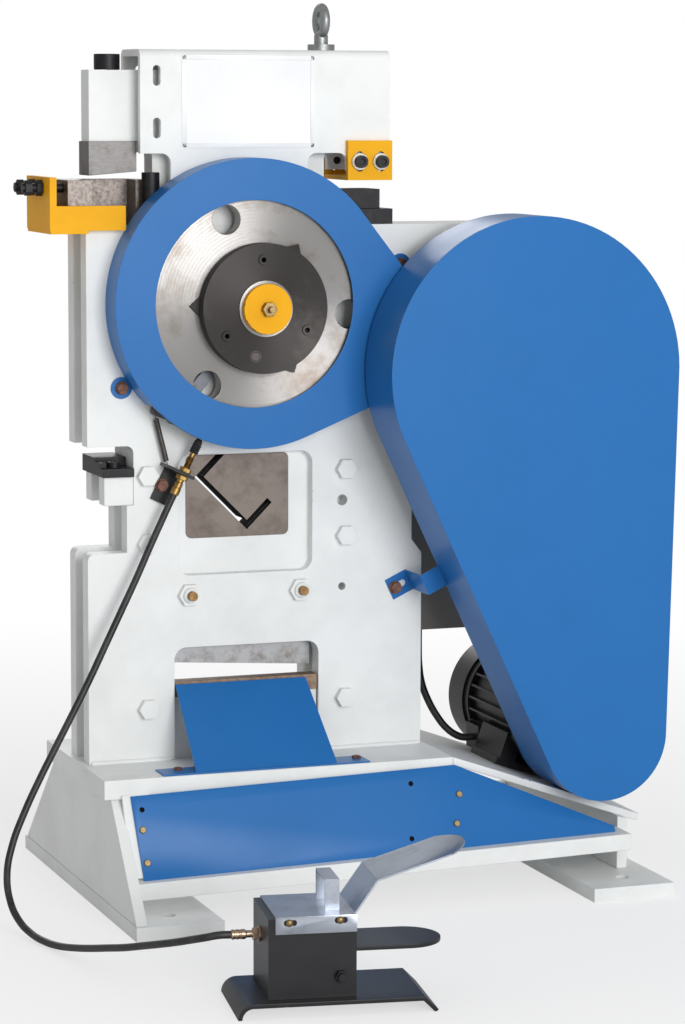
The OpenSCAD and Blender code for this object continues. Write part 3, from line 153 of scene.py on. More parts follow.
cable_route = [
    (-250, -25, 530), (-257, -25, 516), (-268, -26, 494), (-283, -28, 464), (-301, -32, 428),
    (-322, -36, 388), (-345, -41, 345), (-369, -46, 300), (-393, -51, 258), (-417, -56, 217),
    (-440, -62, 178), (-461, -69, 140), (-479, -78, 102), (-489, -90, 68), (-490, -110, 38),
    (-485, -134, 19), (-477, -162, 9), (-468, -194, 6), (-459, -228, 8), (-450, -264, 14),
    (-441, -302, 22), (-431, -340, 31), (-420, -378, 40), (-408, -414, 50), (-396, -446, 59),
    (-384, -473, 67), (-372, -494, 74), (-360, -508, 79), (-347, -514.2, 82), (-333, -516.4, 82)]
trip_cable = run_of_cord("trip_cable_sheath", cable_route, 9)
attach(trip_cable, "machine")
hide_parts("trip_cable")


# Motor lead: a short rubber-sheathed lead from the bottom of the electrical box to the motor's
# terminal box, held in a gland at each end.
lead_route = [
    (146, 130, 318), (146, 130, 290), (147, 130, 262), (151, 129, 236), (160, 127, 212),
    (172, 124, 190), (184, 120, 174), (197, 117, 164), (209, 116, 160), (221, 116, 160)]
motor_lead = run_of_cord("motor_lead_sheath", lead_route, 10)
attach(motor_lead, "machine")
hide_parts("motor_lead")


# Base: a welded steel stand of flame-cut plate, with a top plate, leaning side plates on two long
# feet, sills across the front and back, and a sloping plate for the motor, all sprayed white.
def sprayed(name, colour, shade, bare, rough, chip_at, chip_mm=5, peel=0.05, mirror=0.35):
    """Enamel sprayed on steel: faint clouds, orange peel, and chips down to the metal."""
    paint = bpy.data.materials.new(name)
    paint.use_nodes = True
    shader = paint.node_tree.nodes["Principled BSDF"]
    shader.inputs["Specular IOR Level"].default_value = mirror
    place = add_node(paint, "ShaderNodeTexCoord").outputs["Object"]
    cloud = add_node(paint, "ShaderNodeTexNoise", {"Scale": 1000 / 110, "Detail": 5, "Roughness": 0.6},
                     {"Vector": place}).outputs["Fac"]
    soil = add_node(paint, "ShaderNodeValToRGB", {"stops": [(0.42, 0.0), (0.80, 1.0)]}, {"Fac": cloud})
    tone = add_node(paint, "ShaderNodeMixRGB", {"Color1": linear(colour), "Color2": linear(shade)},
                    {"Fac": soil.outputs["Color"]})
    patch = add_node(paint, "ShaderNodeTexNoise", {"Scale": 1000 / 55, "Detail": 2}, {"Vector": place})
    fleck = add_node(paint, "ShaderNodeTexNoise", {"Scale": 1000 / chip_mm, "Detail": 6, "Roughness": 0.6},
                     {"Vector": place})
    both = add_node(paint, "ShaderNodeMath", {"operation": "ADD"},
                    {0: patch.outputs["Fac"], 1: fleck.outputs["Fac"]})
    chip = add_node(paint, "ShaderNodeMapRange", {"From Min": chip_at, "From Max": chip_at + 0.03},
                    {"Value": both.outputs["Value"]})
    skin = add_node(paint, "ShaderNodeMixRGB", {"Color2": linear(bare)},
                    {"Fac": chip.outputs["Result"], "Color1": tone.outputs["Color"]})
    dull = add_node(paint, "ShaderNodeMapRange", {"To Min": rough - 0.07, "To Max": rough + 0.10},
                    {"Value": cloud})
    grain = add_node(paint, "ShaderNodeTexNoise", {"Scale": 1000 / 2.4, "Detail": 2}, {"Vector": place})
    ripple = add_node(paint, "ShaderNodeBump", {"Strength": peel, "Distance": 0.0004},
                      {"Height": grain.outputs["Fac"]})
    pit = add_node(paint, "ShaderNodeBump", {"Strength": 0.5, "Distance": 0.0004, "invert": True},
                   {"Height": chip.outputs["Result"], "Normal": ripple.outputs["Normal"]})
    paint.node_tree.links.new(skin.outputs["Color"], shader.inputs["Base Color"])
    paint.node_tree.links.new(dull.outputs["Result"], shader.inputs["Roughness"])
    paint.node_tree.links.new(pit.outputs["Normal"], shader.inputs["Normal"])
    return paint


# White machine enamel: semi-gloss, slightly cool, hardly chipped on the faces and more on the edges.
white_enamel = sprayed("white_enamel", "#E9EBEA", "#DADCDA", "#77706A", 0.42, 1.42)
white_edge = sprayed("white_enamel_edge", "#E6E8E7", "#CFD0CD", "#77706A", 0.45, 1.27, 3)


def dressed(node, finish, edge_mm, body="machine", worn=None, fold=30, flatten=True):
    """A CAD node's shape with its sharp edges broken, in its finish and its worn edge's finish."""
    bpy.ops.object.select_all(action="DESELECT")
    piece = bpy.data.objects.new(node + "_piece", frame["nodes"][node].data.copy())
    bpy.context.collection.objects.link(piece)
    bpy.context.view_layer.objects.active = piece
    piece.select_set(True)
    piece.data.materials.clear()
    piece.data.materials.append(finish)
    piece.data.materials.append(worn or finish)
    bpy.ops.mesh.customdata_custom_splitnormals_clear()
    bpy.ops.object.mode_set(mode="EDIT")
    bpy.ops.mesh.select_all(action="SELECT")
    bpy.ops.mesh.remove_doubles(threshold=0.00002)
    if flatten:
        bpy.ops.mesh.dissolve_limited(angle_limit=math.radians(0.6))
    bpy.ops.object.mode_set(mode="OBJECT")
    edge = piece.modifiers.new("edge", "BEVEL")
    edge.width = edge_mm / 1000
    edge.segments = 2
    edge.limit_method = "ANGLE"
    edge.angle_limit = math.radians(fold)
    edge.material = 1
    bpy.ops.object.modifier_apply(modifier="edge")
    bpy.ops.object.shade_smooth_by_angle(angle=math.radians(fold))
    flats = piece.modifiers.new("flats", "WEIGHTED_NORMAL")
    flats.keep_sharp = True
    bpy.ops.object.modifier_apply(modifier="flats")
    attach(piece, body)
    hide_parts(node)
    return piece


for plate in ("base_top_plate", "base_side_plates", "base_feet", "base_sills", "motor_plate"):
    dressed(plate, white_enamel, 1.2, worn=white_edge)


# Front panel: blue enamelled sheet that closes the base between the side plates, held by zinc-plated
# hex screws with washers; the empty holes beside them are drilled for a second set.
# Blue enamel: full gloss over smooth sheet, so it mirrors what is near it.
blue_enamel = sprayed("blue_enamel", "#266CB0", "#2269AB", "#8E959C", 0.30, 1.52, peel=0.02, mirror=0.2)
blue_edge = sprayed("blue_enamel_edge", "#2C73B8", "#2269AB", "#8E959C", 0.32, 1.38, 3, peel=0.02,
                    mirror=0.2)
front_panel = dressed("base_front_panel", blue_enamel, 0.5, worn=blue_edge)
panel_lean = math.atan2(44.8, 110.5)
panel_out = Vector((0, -math.cos(panel_lean), math.sin(panel_lean)))


def panel_spot(x, up):
    """A point on the panel's face, by its height along the slope."""
    return at(x, -149 + up * math.sin(panel_lean), 60 + up * math.cos(panel_lean)) + panel_out * 0.002


def aim(piece, spot, out):
    """Stands a piece made upright at the origin on a spot, and fixes its place in its mesh."""
    piece.rotation_mode = "QUATERNION"
    piece.rotation_quaternion = Vector((0, 0, 1)).rotation_difference(out)
    piece.location = spot
    bpy.ops.object.transform_apply(location=True, rotation=True, scale=True)
    return piece


def pick(piece, test):
    """Goes into edit mode with only those faces selected whose middle and normal pass the test."""
    bpy.ops.object.mode_set(mode="EDIT")
    bpy.ops.mesh.select_mode(type="FACE")
    bpy.ops.mesh.select_all(action="DESELECT")
    bpy.ops.object.mode_set(mode="OBJECT")
    for face in piece.data.polygons:
        face.select = test(face.center, face.normal)
    bpy.ops.object.mode_set(mode="EDIT")


def cut_holes(piece, cutters):
    """Cuts round holes: each cutter is a spot, a direction, a radius and a depth in metres."""
    for spot, out, radius, depth in cutters:
        bpy.ops.object.select_all(action="DESELECT")
        bpy.ops.mesh.primitive_cylinder_add(vertices=32, radius=radius, depth=depth)
        drill = aim(bpy.context.object, spot, out)
        bpy.ops.object.select_all(action="DESELECT")
        bpy.context.view_layer.objects.active = piece
        piece.select_set(True)
        hole = piece.modifiers.new("hole", "BOOLEAN")
        hole.operation = "DIFFERENCE"
        hole.solver = "EXACT"
        hole.object = drill
        bpy.ops.object.modifier_apply(modifier="hole")
        bpy.data.objects.remove(drill)


# Painted shade: a near-black oily steel colour on hole walls and blind recesses, standing in for the shade
# that falls deep inside a hole.
painted_shade = bpy.data.materials.new("painted_shade_steel")
painted_shade.use_nodes = True
shadow_shader = painted_shade.node_tree.nodes["Principled BSDF"]
shadow_shader.inputs["Roughness"].default_value = 0.8
shadow_shader.inputs["Specular IOR Level"].default_value = 0.1
shadow_place = add_node(painted_shade, "ShaderNodeTexCoord").outputs["Object"]
shade_mottle = add_node(painted_shade, "ShaderNodeTexNoise", {"Scale": 1000 / 6, "Detail": 4},
                        {"Vector": shadow_place})
shadow_tone = add_node(painted_shade, "ShaderNodeValToRGB",
                       {"stops": [(0.35, linear("#0B0A0A")), (0.75, linear("#1D1A17"))]},
                       {"Fac": shade_mottle.outputs["Fac"]})
painted_shade.node_tree.links.new(shadow_tone.outputs["Color"], shadow_shader.inputs["Base Color"])
# The spare holes are shallow blind recesses, not holes through the sheet. The faces in them get the painted
# shade, so that they read as deep holes.
spare_holes = [panel_spot(x, up) for x, up in ((-321, 90), (42, 98.5), (33.5, 27))]
spare_r, spare_depth = 0.0034, 0.0032
cut_holes(front_panel, [(spot, panel_out, spare_r, spare_depth) for spot in spare_holes])
front_panel.data.materials.append(painted_shade)
for face in front_panel.data.polygons:
    if any((face.center - spot).length < 0.0036 for spot in spare_holes):
        face.material_index = 2

# Flange welded inside the left side plate, which the panel's left edge is screwed to.
bpy.ops.object.select_all(action="DESELECT")
bpy.ops.mesh.primitive_cube_add(size=1)
panel_flange = bpy.context.object
panel_flange.name = "panel_flange"
panel_flange.scale = (0.036, 0.106, 0.005)
aim(panel_flange, panel_spot(-326, 57) - panel_out * 0.005, panel_out)
pick(panel_flange, lambda mid, out: True)
bpy.ops.mesh.bevel(offset=0.0007, segments=2, affect="EDGES")
bpy.ops.object.mode_set(mode="OBJECT")
panel_flange.data.materials.append(white_enamel)
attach(panel_flange, "machine")


def washer_screw(name, washer_r, across, head, thick=1.6):
    """A hex screw with its washer, upright at the origin, in millimetres."""
    bpy.ops.object.select_all(action="DESELECT")
    bpy.ops.mesh.primitive_cylinder_add(vertices=32, radius=washer_r / 1000, depth=thick / 1000,
                                        location=(0, 0, thick / 2000))
    washer = bpy.context.object
    pick(washer, lambda mid, out: out.z > 0.9)
    bpy.ops.mesh.bevel(offset=0.0004, segments=2, affect="EDGES")
    bpy.ops.object.mode_set(mode="OBJECT")
    bpy.ops.object.select_all(action="DESELECT")
    bpy.ops.mesh.primitive_cylinder_add(vertices=6, radius=across / 2000 / math.cos(math.pi / 6),
                                        depth=head / 1000, location=(0, 0, (thick + head / 2) / 1000))
    bolt = bpy.context.object
    pick(bolt, lambda mid, out: out.z > 0.9)
    bpy.ops.mesh.inset(thickness=across * 0.00009)
    bpy.ops.transform.translate(value=(0, 0, across * 0.00006))
    bpy.ops.object.mode_set(mode="OBJECT")
    bolt.select_set(True)
    washer.select_set(True)
    bpy.ops.object.join()
    bolt.name = name
    bpy.ops.object.shade_smooth_by_angle(angle=math.radians(30))
    return bolt


def set_out(first, places):
    """Copies a piece made upright at the origin to its places, and joins the copies to one piece."""
    for spot, out in places[1:]:
        bpy.ops.object.select_all(action="DESELECT")
        again = first.copy()
        again.data = first.data.copy()
        bpy.context.collection.objects.link(again)
        bpy.context.view_layer.objects.active = again
        again.select_set(True)
        aim(again, spot, out)
        again["set_out"] = first.name
    bpy.ops.object.select_all(action="DESELECT")
    bpy.context.view_layer.objects.active = first
    first.select_set(True)
    aim(first, *places[0])
    for other in [o for o in bpy.data.objects if o.get("set_out") == first.name]:
        other.select_set(True)
    bpy.ops.object.join()
    return first


def worked_metal(name, colour, stain, rough, grain_mm, stain_mm, stain_at=0.5, along=(1, 1, 1), metallic=1.0,
                 scratch=0.25):
    """Bare metal: tool marks drawn out along one way, and stains of oil and rust in patches."""
    steel = bpy.data.materials.new(name)
    steel.use_nodes = True
    shader = steel.node_tree.nodes["Principled BSDF"]
    shader.inputs["Metallic"].default_value = metallic
    place = add_node(steel, "ShaderNodeTexCoord").outputs["Object"]
    drawn = add_node(steel, "ShaderNodeMapping", {"Scale": along}, {"Vector": place})
    marks = add_node(steel, "ShaderNodeTexNoise", {"Scale": 1000 / grain_mm, "Detail": 4, "Roughness": 0.7},
                     {"Vector": drawn.outputs["Vector"]})
    blot = add_node(steel, "ShaderNodeTexNoise", {"Scale": 1000 / stain_mm, "Detail": 6, "Roughness": 0.68},
                    {"Vector": place})
    mask = add_node(steel, "ShaderNodeValToRGB",
                    {"stops": [(stain_at, 0.0), (min(stain_at + 0.28, 1.0), 1.0)]},
                    {"Fac": blot.outputs["Fac"]})
    tone = add_node(steel, "ShaderNodeMixRGB", {"Color1": linear(colour), "Color2": linear(stain)},
                    {"Fac": mask.outputs["Color"]})
    shine = add_node(steel, "ShaderNodeMapRange", {"To Min": rough - 0.10, "To Max": rough + 0.16},
                     {"Value": marks.outputs["Fac"]})
    scored = add_node(steel, "ShaderNodeBump", {"Strength": scratch, "Distance": 0.0003},
                      {"Height": marks.outputs["Fac"]})
    steel.node_tree.links.new(tone.outputs["Color"], shader.inputs["Base Color"])
    steel.node_tree.links.new(shine.outputs["Result"], shader.inputs["Roughness"])
    steel.node_tree.links.new(scored.outputs["Normal"], shader.inputs["Normal"])
    return steel


# Yellow zinc plate: thin bright plating with a golden passivation, a little dulled.
zinc_plate = worked_metal("yellow_zinc_plate", "#97815A", "#64503A", 0.40, 2, 6, 0.50)
panel_screws = set_out(washer_screw("panel_screws", 6, 8, 4), [
    (panel_spot(x, up), panel_out) for x, up in ((-323, 64), (-322, 22), (106.5, 80), (98, 42))])
panel_screws.data.materials.append(zinc_plate)
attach(panel_screws, "machine")


# Frame: two thick steel plates with the ram's spacers between them, cut to outline, drilled, bolted
# through with hex tie bolts and painted white as a whole, bolts too. The ledge carries the side tool.
for plate in ("front_plate", "rear_plate", "tool_ledge"):
    dressed(plate, white_enamel, 1.6, worn=white_edge)
dressed("tie_bolts", white_enamel, 1.3, worn=white_edge)
dressed("frame_spacers", white_enamel, 1.0)


def weld_bead(name, start, end, radius):
    """A hand-laid fillet weld between two points: a round bead with the ripples of its puddles."""
    seam = bpy.data.curves.new(name, "CURVE")
    seam.dimensions = "3D"
    seam.bevel_depth = radius / 1000
    seam.bevel_resolution = 3
    seam.use_fill_caps = True
    run = Vector(end) - Vector(start)
    steps = int(run.length / 2.2)
    spline = seam.splines.new("POLY")
    spline.points.add(steps)
    for i, knot in enumerate(spline.points):
        knot.co = (*at(*(Vector(start) + run * i / steps)), 1)
        knot.radius = 0.88 + 0.12 * math.cos(i * math.pi) + 0.10 * math.sin(i * 0.37)
    bead = bpy.data.objects.new(name, seam)
    bpy.context.collection.objects.link(bead)
    bpy.ops.object.select_all(action="DESELECT")
    bpy.context.view_layer.objects.active = bead
    bead.select_set(True)
    bpy.ops.object.convert(target="MESH")
    bead.data.materials.append(white_enamel)
    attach(bead, "machine")


weld_bead("frame_foot_weld_left", (-354, 0, 182), (-246, 0, 182), 4)
weld_bead("frame_foot_weld_right", (-41, 0, 182), (96, 0, 182), 4)


def turned(name, outline, finish, sides=32):
    """A lathe shape, upright at the origin, from its half outline as radius and height in millimetres."""
    bpy.ops.object.select_all(action="DESELECT")
    half = bpy.data.meshes.new(name)
    half.from_pydata([(r / 1000, 0, z / 1000) for r, z in outline],
                     [(i, i + 1) for i in range(len(outline) - 1)], [])
    piece = bpy.data.objects.new(name, half)
    bpy.context.collection.objects.link(piece)
    bpy.context.view_layer.objects.active = piece
    piece.select_set(True)
    bpy.ops.object.mode_set(mode="EDIT")
    bpy.ops.mesh.select_all(action="SELECT")
    bpy.ops.mesh.spin(steps=sides, angle=2 * math.pi, center=(0, 0, 0), axis=(0, 0, 1))
    bpy.ops.mesh.select_all(action="SELECT")
    bpy.ops.mesh.remove_doubles(threshold=0.00001)
    bpy.ops.mesh.normals_make_consistent(inside=False)
    bpy.ops.object.mode_set(mode="OBJECT")
    bpy.ops.object.shade_smooth_by_angle(angle=math.radians(35))
    piece.data.materials.append(finish)
    return piece


# Gib screws: threaded studs that press the gib strips against the ram, each with a lock nut and a collar
# that were sprayed with the frame. The ends that a key turned stayed bare and went brown.
# Browned stud: bare thread with thin rust.
browned_stud = worked_metal("browned_stud", "#9A7B52", "#5D4430", 0.46, 1.5, 6, 0.42)
gib_screws = dressed("gib_screws", white_enamel, 0.8, worn=white_edge)


def paint_core(piece, finish, axes, reach):
    """Gives its own finish to what lies within a reach of axes that run from front to back."""
    piece.data.materials.append(finish)
    for face in piece.data.polygons:
        corners = [piece.data.vertices[i].co for i in face.vertices]
        if any(all((corner - axis).xz.length < reach for corner in corners) for axis in axes):
            face.material_index = 2


paint_core(gib_screws, browned_stud, [at(-222, 0, 396), at(-71, 0, 396)], 0.0063)


# Ram: a flat steel slab that slides between the plates, with two arms in the top channel. The
# painted ends of the arms show beside the channel, rubbed at their corners.
dressed("ram", white_enamel, 1.5, body="ram", worn=white_edge)

# Tool steel: hardened and ground, grey, with fine straight grinding marks and thumb-oil stains.
ground_steel = worked_metal("ground_tool_steel", "#9FA0A2", "#6C6259", 0.38, 1.6, 22, 0.48,
                            along=(1, 1, 0.08))
ram_tools = dressed("ram_tools", ground_steel, 0.5, body="ram")


def paint_section_shade(piece):
    """Paints shade on the side walls of the section hole, in the near-black steel colour that stands in for
    the shade inside it.
    """
    piece.data.materials.append(painted_shade)
    low, high = at(-219, 0, 470), at(-85, 0, 572)
    for face in piece.data.polygons:
        if abs(face.normal.y) < 0.5 and low.x < face.center.x < high.x and low.z < face.center.z < high.z:
            face.material_index = 2


# Painted shade on the walls of the section hole in the ram's tools.
paint_section_shade(ram_tools)
blade_screws = set_out(
    turned("upper_blade_screws", [(0, 0.3), (3, 0.3), (3.4, 1.2), (6.6, 1.2), (7.4, 0.5), (7.4, 0), (0, 0)],
           ground_steel, 24),
    [(at(-206, 26.4, 316), Vector((0, -1, 0))), (at(-86, 26.4, 312), Vector((0, -1, 0)))])
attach(blade_screws, "ram")
# Blade steel: the same steel unpolished, dull grey with brown at its edges.
blade_steel = worked_metal("dull_blade_steel", "#777574", "#584F48", 0.46, 1.8, 26, 0.50, along=(0.2, 1, 1))
dressed("notch_blade", blade_steel, 0.7, body="ram")

# Black oxide: blued steel, dark with a faint sheen, rubbed to bare metal at the corners.
black_oxide = worked_metal("black_oxide_steel", "#2A2A2D", "#3D3732", 0.44, 2, 9, 0.50, metallic=0.75)
dressed("arm_bolt", black_oxide, 1.0, body="ram")


# Top channel: a folded U of steel plate over the neck, with slots in its end and a lug at the
# right, welded to the front and rear plates and painted white.
dressed("top_channel", white_enamel, 1.2, worn=white_edge)


# Eye bolt: a forged galvanised lifting eye screwed into the channel's top.
# Hot-dip galvanised: dull grey zinc with pale spangles and brown weather stains.
galvanised = worked_metal("galvanised_steel", "#A2A5A6", "#7A726A", 0.46, 3, 7, 0.52)
dressed("eye_bolt", galvanised, 0.8, fold=40)


# Plate on the channel: a bare enamelled sign sheet with a raised rim, on four rivets.
# Sign enamel: even bright white with a fine gloss.
sign_enamel = sprayed("sign_enamel", "#F2F3F4", "#EAECEE", "#B9BBBE", 0.34, 1.60, peel=0.02)
label_plate = dressed("label_plate", sign_enamel, 0.3)
pick(label_plate, lambda mid, out: out.y < -0.9)
bpy.ops.mesh.inset(thickness=0.006)
bpy.ops.mesh.extrude_region_shrink_fatten(TRANSFORM_OT_shrink_fatten={"value": 0.0004})
bpy.ops.object.mode_set(mode="OBJECT")
sign_rivets = set_out(
    turned("sign_rivets", [(0, 1.5), (1.6, 1.2), (2.6, 0.5), (2.9, 0), (0, 0)], galvanised, 20),
    [(at(x, -1.4, z), Vector((0, -1, 0))) for x in (-226.5, -55.5) for z in (972.5, 1082.5)])
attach(sign_rivets, "machine")


# Shafts and gears: forged shafts in bronze bushes, and cut steel gears. The main gear turns free on the
# eccentric shaft and shows its faced front in the cover's opening.
gear_axis = at(-138, 0, 767)


def faced_steel(name, colour, stain, axis, ring_mm, rough, stain_at, metallic=1.0):
    """Steel faced on a lathe: rings round the shaft that fan out the light, and oil stains."""
    steel = bpy.data.materials.new(name)
    steel.use_nodes = True
    shader = steel.node_tree.nodes["Principled BSDF"]
    shader.inputs["Metallic"].default_value = metallic
    place = add_node(steel, "ShaderNodeTexCoord").outputs["Object"]
    centred = add_node(steel, "ShaderNodeMapping", {"Location": -axis}, {"Vector": place})
    rings = add_node(steel, "ShaderNodeTexWave",
                     {"wave_type": "RINGS", "rings_direction": "Y",
                      "Scale": 2 * math.pi / (20 * ring_mm / 1000),
                      "Distortion": 1.5, "Detail": 3, "Detail Scale": 2},
                     {"Vector": centred.outputs["Vector"]})
    blot = add_node(steel, "ShaderNodeTexNoise", {"Scale": 1000 / 70, "Detail": 6, "Roughness": 0.66},
                    {"Vector": place})
    mask = add_node(steel, "ShaderNodeValToRGB", {"stops": [(stain_at, 0.0), (stain_at + 0.25, 1.0)]},
                    {"Fac": blot.outputs["Fac"]})
    tone = add_node(steel, "ShaderNodeMixRGB", {"Color1": linear(colour), "Color2": linear(stain)},
                    {"Fac": mask.outputs["Color"]})
    shine = add_node(steel, "ShaderNodeMapRange", {"To Min": rough - 0.02, "To Max": rough + 0.04},
                     {"Value": rings.outputs["Fac"]})
    cut = add_node(steel, "ShaderNodeBump", {"Strength": 0.05, "Distance": 0.0003},
                   {"Height": rings.outputs["Fac"]})
    spoke = add_node(steel, "ShaderNodeVectorTransform",
                     {"vector_type": "VECTOR", "convert_from": "OBJECT", "convert_to": "WORLD"},
                     {"Vector": centred.outputs["Vector"]})
    shader.inputs["Anisotropic"].default_value = 0.9
    steel.node_tree.links.new(spoke.outputs["Vector"], shader.inputs["Tangent"])
    steel.node_tree.links.new(tone.outputs["Color"], shader.inputs["Base Color"])
    steel.node_tree.links.new(shine.outputs["Result"], shader.inputs["Roughness"])
    steel.node_tree.links.new(cut.outputs["Normal"], shader.inputs["Normal"])
    return steel


# Faced gear steel: bright, with broad bands of turning rings 4.5 mm apart.
gear_steel = faced_steel("faced_gear_steel", "#8F8D8B", "#6E6156", gear_axis, 4.5, 0.32, 0.50)
dressed("main_gear", gear_steel, 0.4, body="gear", flatten=False)
dressed("eccentric_shaft", gear_steel, 0.8, body="eccentric")

# Turned shaft steel and bearing bronze: plain lathe finish under a film of oil.
shaft_steel = worked_metal("turned_shaft_steel", "#A9AAAD", "#6F675F", 0.34, 1.5, 30, 0.52)
bearing_bronze = worked_metal("bearing_bronze", "#A87F45", "#6B4F2E", 0.36, 1.5, 18, 0.52)
dressed("shaft_bushes", bearing_bronze, 0.4)
for shaft, body in (("intermediate_shaft", "intermediate"), ("stage_wheel", "intermediate"),
                    ("drive_shaft", "flywheel")):
    dressed(shaft, shaft_steel, 0.4, body=body)


# Clutch disc: a dark turned steel disc on the shaft's end with three keys behind its rim, three
# sunk socket screws and a filled hole.
# Blackened turned steel: dark brown-grey with soft rings.
clutch_steel = faced_steel("blackened_clutch_steel", "#3A3736", "#55504C", gear_axis, 2.4, 0.46, 0.52, 0.6)
dressed("clutch_disc", clutch_steel, 0.8, body="eccentric")


# Plug steel: the filled hole's face, rubbed a little paler than the disc.
plug_steel = worked_metal("rubbed_plug_steel", "#57524F", "#443F3B", 0.48, 2, 8, 0.50, metallic=0.6)
plug_outline = [(0, 1.0), (5.2, 1.0), (5.8, 0.4), (6.4, 0.9), (7.4, 0.9), (7.6, 0), (0, 0)]
clutch_plug = turned("clutch_plug", plug_outline, plug_steel)
aim(clutch_plug, at(-151.9, -60.5, 706.6), Vector((0, -1, 0)))
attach(clutch_plug, "eccentric")


# Shaft cap: a yellow pressed cap over the shaft's end with a grease nipple in its middle.
# Yellow enamel: warm machine yellow, dulled by oily hands, worn to steel along the edges.
yellow_enamel = sprayed("yellow_enamel", "#F0AE08", "#E09C08", "#6E6A63", 0.45, 1.36, mirror=0.15)
yellow_edge = sprayed("yellow_enamel_edge", "#EDAB10", "#C98C18", "#5E5A54", 0.48, 1.12, 4, mirror=0.15)
shaft_cap = dressed("shaft_cap", yellow_enamel, 0.8, body="eccentric", worn=yellow_edge)
shaft_cap.data.materials.append(zinc_plate)
for face in shaft_cap.data.polygons:
    if (face.center - gear_axis).xz.length < 0.0105 and face.center.y < at(0, -71, 0).y:
        face.material_index = 2


# Gear cover and rear gear cover: blue sheet hoods over the gears, the front one with a wide round opening
# and two ears bolted to the front plate. The belt cover is a deep teardrop hood on its bracket.
dressed("gear_cover", blue_enamel, 1.0, worn=blue_edge)
dressed("rear_gear_cover", blue_enamel, 1.2, worn=blue_edge)
dressed("belt_cover", blue_enamel, 1.6, worn=blue_edge)
dressed("belt_cover_bracket", blue_enamel, 0.5, worn=blue_edge)

# Cover bolts: hex bolts with washers, rusted brown.
rusty_steel = worked_metal("rusty_bolt_steel", "#7D5A4D", "#54392C", 0.58, 2, 6, 0.42, metallic=0.5)
dressed("cover_bolts", rusty_steel, 0.6)


# Notching station: a yellow welded holder bolted to the end of the bed, the tool steel die in it, and
# black set screws with lock nuts that push the die up to the blade.
dressed("notch_holder", yellow_enamel, 0.9, worn=yellow_edge)
# Die steel: ground, but stained pinkish brown in fine speckles where scrap has rubbed it.
die_steel = worked_metal("speckled_die_steel", "#8F8782", "#5F544D", 0.44, 3, 5, 0.42, metallic=0.8)
dressed("notch_die", die_steel, 0.6)
dressed("notch_set_screws", black_oxide, 0.7)


# Punching station: the die block on the bed, and the yellow stripper on slotted holes with four socket
# screws and washers.
dressed("punch_die", black_oxide, 0.8)
dressed("stripper_bracket", yellow_enamel, 0.8, body="stripper", worn=yellow_edge)
# Bright washer steel: plain turned steel, thinly oiled.
screw_steel = worked_metal("bright_washer_steel", "#A3A19C", "#6B6257", 0.36, 2, 7, 0.50)
stripper_screws = dressed("stripper_screws", screw_steel, 0.6)
paint_core(stripper_screws, black_oxide, [at(7, 0, 951), at(36, 0, 951)], 0.0083)


# Side tool: a stepped black steel block on its ledge with a socket screw.
dressed("side_tool", black_oxide, 1.0)


# Section die, flat shear and chute: the fixed die behind the front window, the lower blade in the low
# window, and a bent blue sheet that lets the cut pieces slide out.
# Section die steel: plain brown-grey mill scale, rubbed paler where bars slide.
scale_steel = worked_metal("scaled_die_steel", "#80766F", "#62564F", 0.52, 3, 34, 0.44, metallic=0.5)
section_die = dressed("section_die", scale_steel, 0.4)
# Painted shade on the walls of the section hole in the die.
paint_section_shade(section_die)
rusty_blade = worked_metal("rusty_blade_steel", "#94806F", "#6B5344", 0.50, 2, 9, 0.42, metallic=0.6)
dressed("lower_shear_blade", rusty_blade, 0.5)
dressed("chute", blue_enamel, 0.5, worn=blue_edge)
chute_bolts = set_out(washer_screw("chute_bolts", 8, 10, 6), [
    (at(-261, -76, 183), Vector((0, 0, 1))), (at(-20, -78, 183), Vector((0, 0, 1)))])
chute_bolts.data.materials.append(rusty_steel)
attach(chute_bolts, "machine")


# Electrical box: a grey painted steel box with a flat lid on the back of the frame.
grey_enamel = sprayed("grey_enamel", "#8F8A82", "#827D76", "#5F5C58", 0.45, 1.46)
dressed("electrical_box", grey_enamel, 1.0)


# Motor: a black foot-mounted motor with cooling fins and a fan cowl, its shaft and pulley, two V-belts
# and the cast flywheel, all but hidden by the belt cover.
black_enamel = sprayed("black_enamel", "#1B1B1E", "#262628", "#6A6865", 0.36, 1.40)
black_edge = sprayed("black_enamel_edge", "#232326", "#353536", "#7A7772", 0.40, 1.20, 4)
dressed("motor", black_enamel, 0.6, worn=black_edge)
dressed("motor_rotor", shaft_steel, 0.4, body="rotor")
cast_iron = worked_metal("cast_iron", "#55585C", "#43403D", 0.55, 3, 20, 0.5, metallic=0.6, scratch=0.4)
dressed("flywheel", cast_iron, 0.6, body="flywheel")
# Belt rubber: matt black with a fabric weave too fine to show.
belt_rubber = worked_metal("belt_rubber", "#1E1E1F", "#2C2B2A", 0.72, 2, 12, 0.5, metallic=0.0)
dressed("drive_belts", belt_rubber, 0.4)


# Trip: a black bent bracket on the front plate that holds the cable's brass adjuster, the lever behind the
# gear cover, its pin and its return spring.
dressed("cable_bracket", black_enamel, 0.5, worn=black_edge)
lever_steel = worked_metal("plain_lever_steel", "#6B6E73", "#554A42", 0.45, 2, 10, 0.5)
dressed("trip_lever", lever_steel, 0.4, body="trip")
dressed("trip_pin", shaft_steel, 0.3)
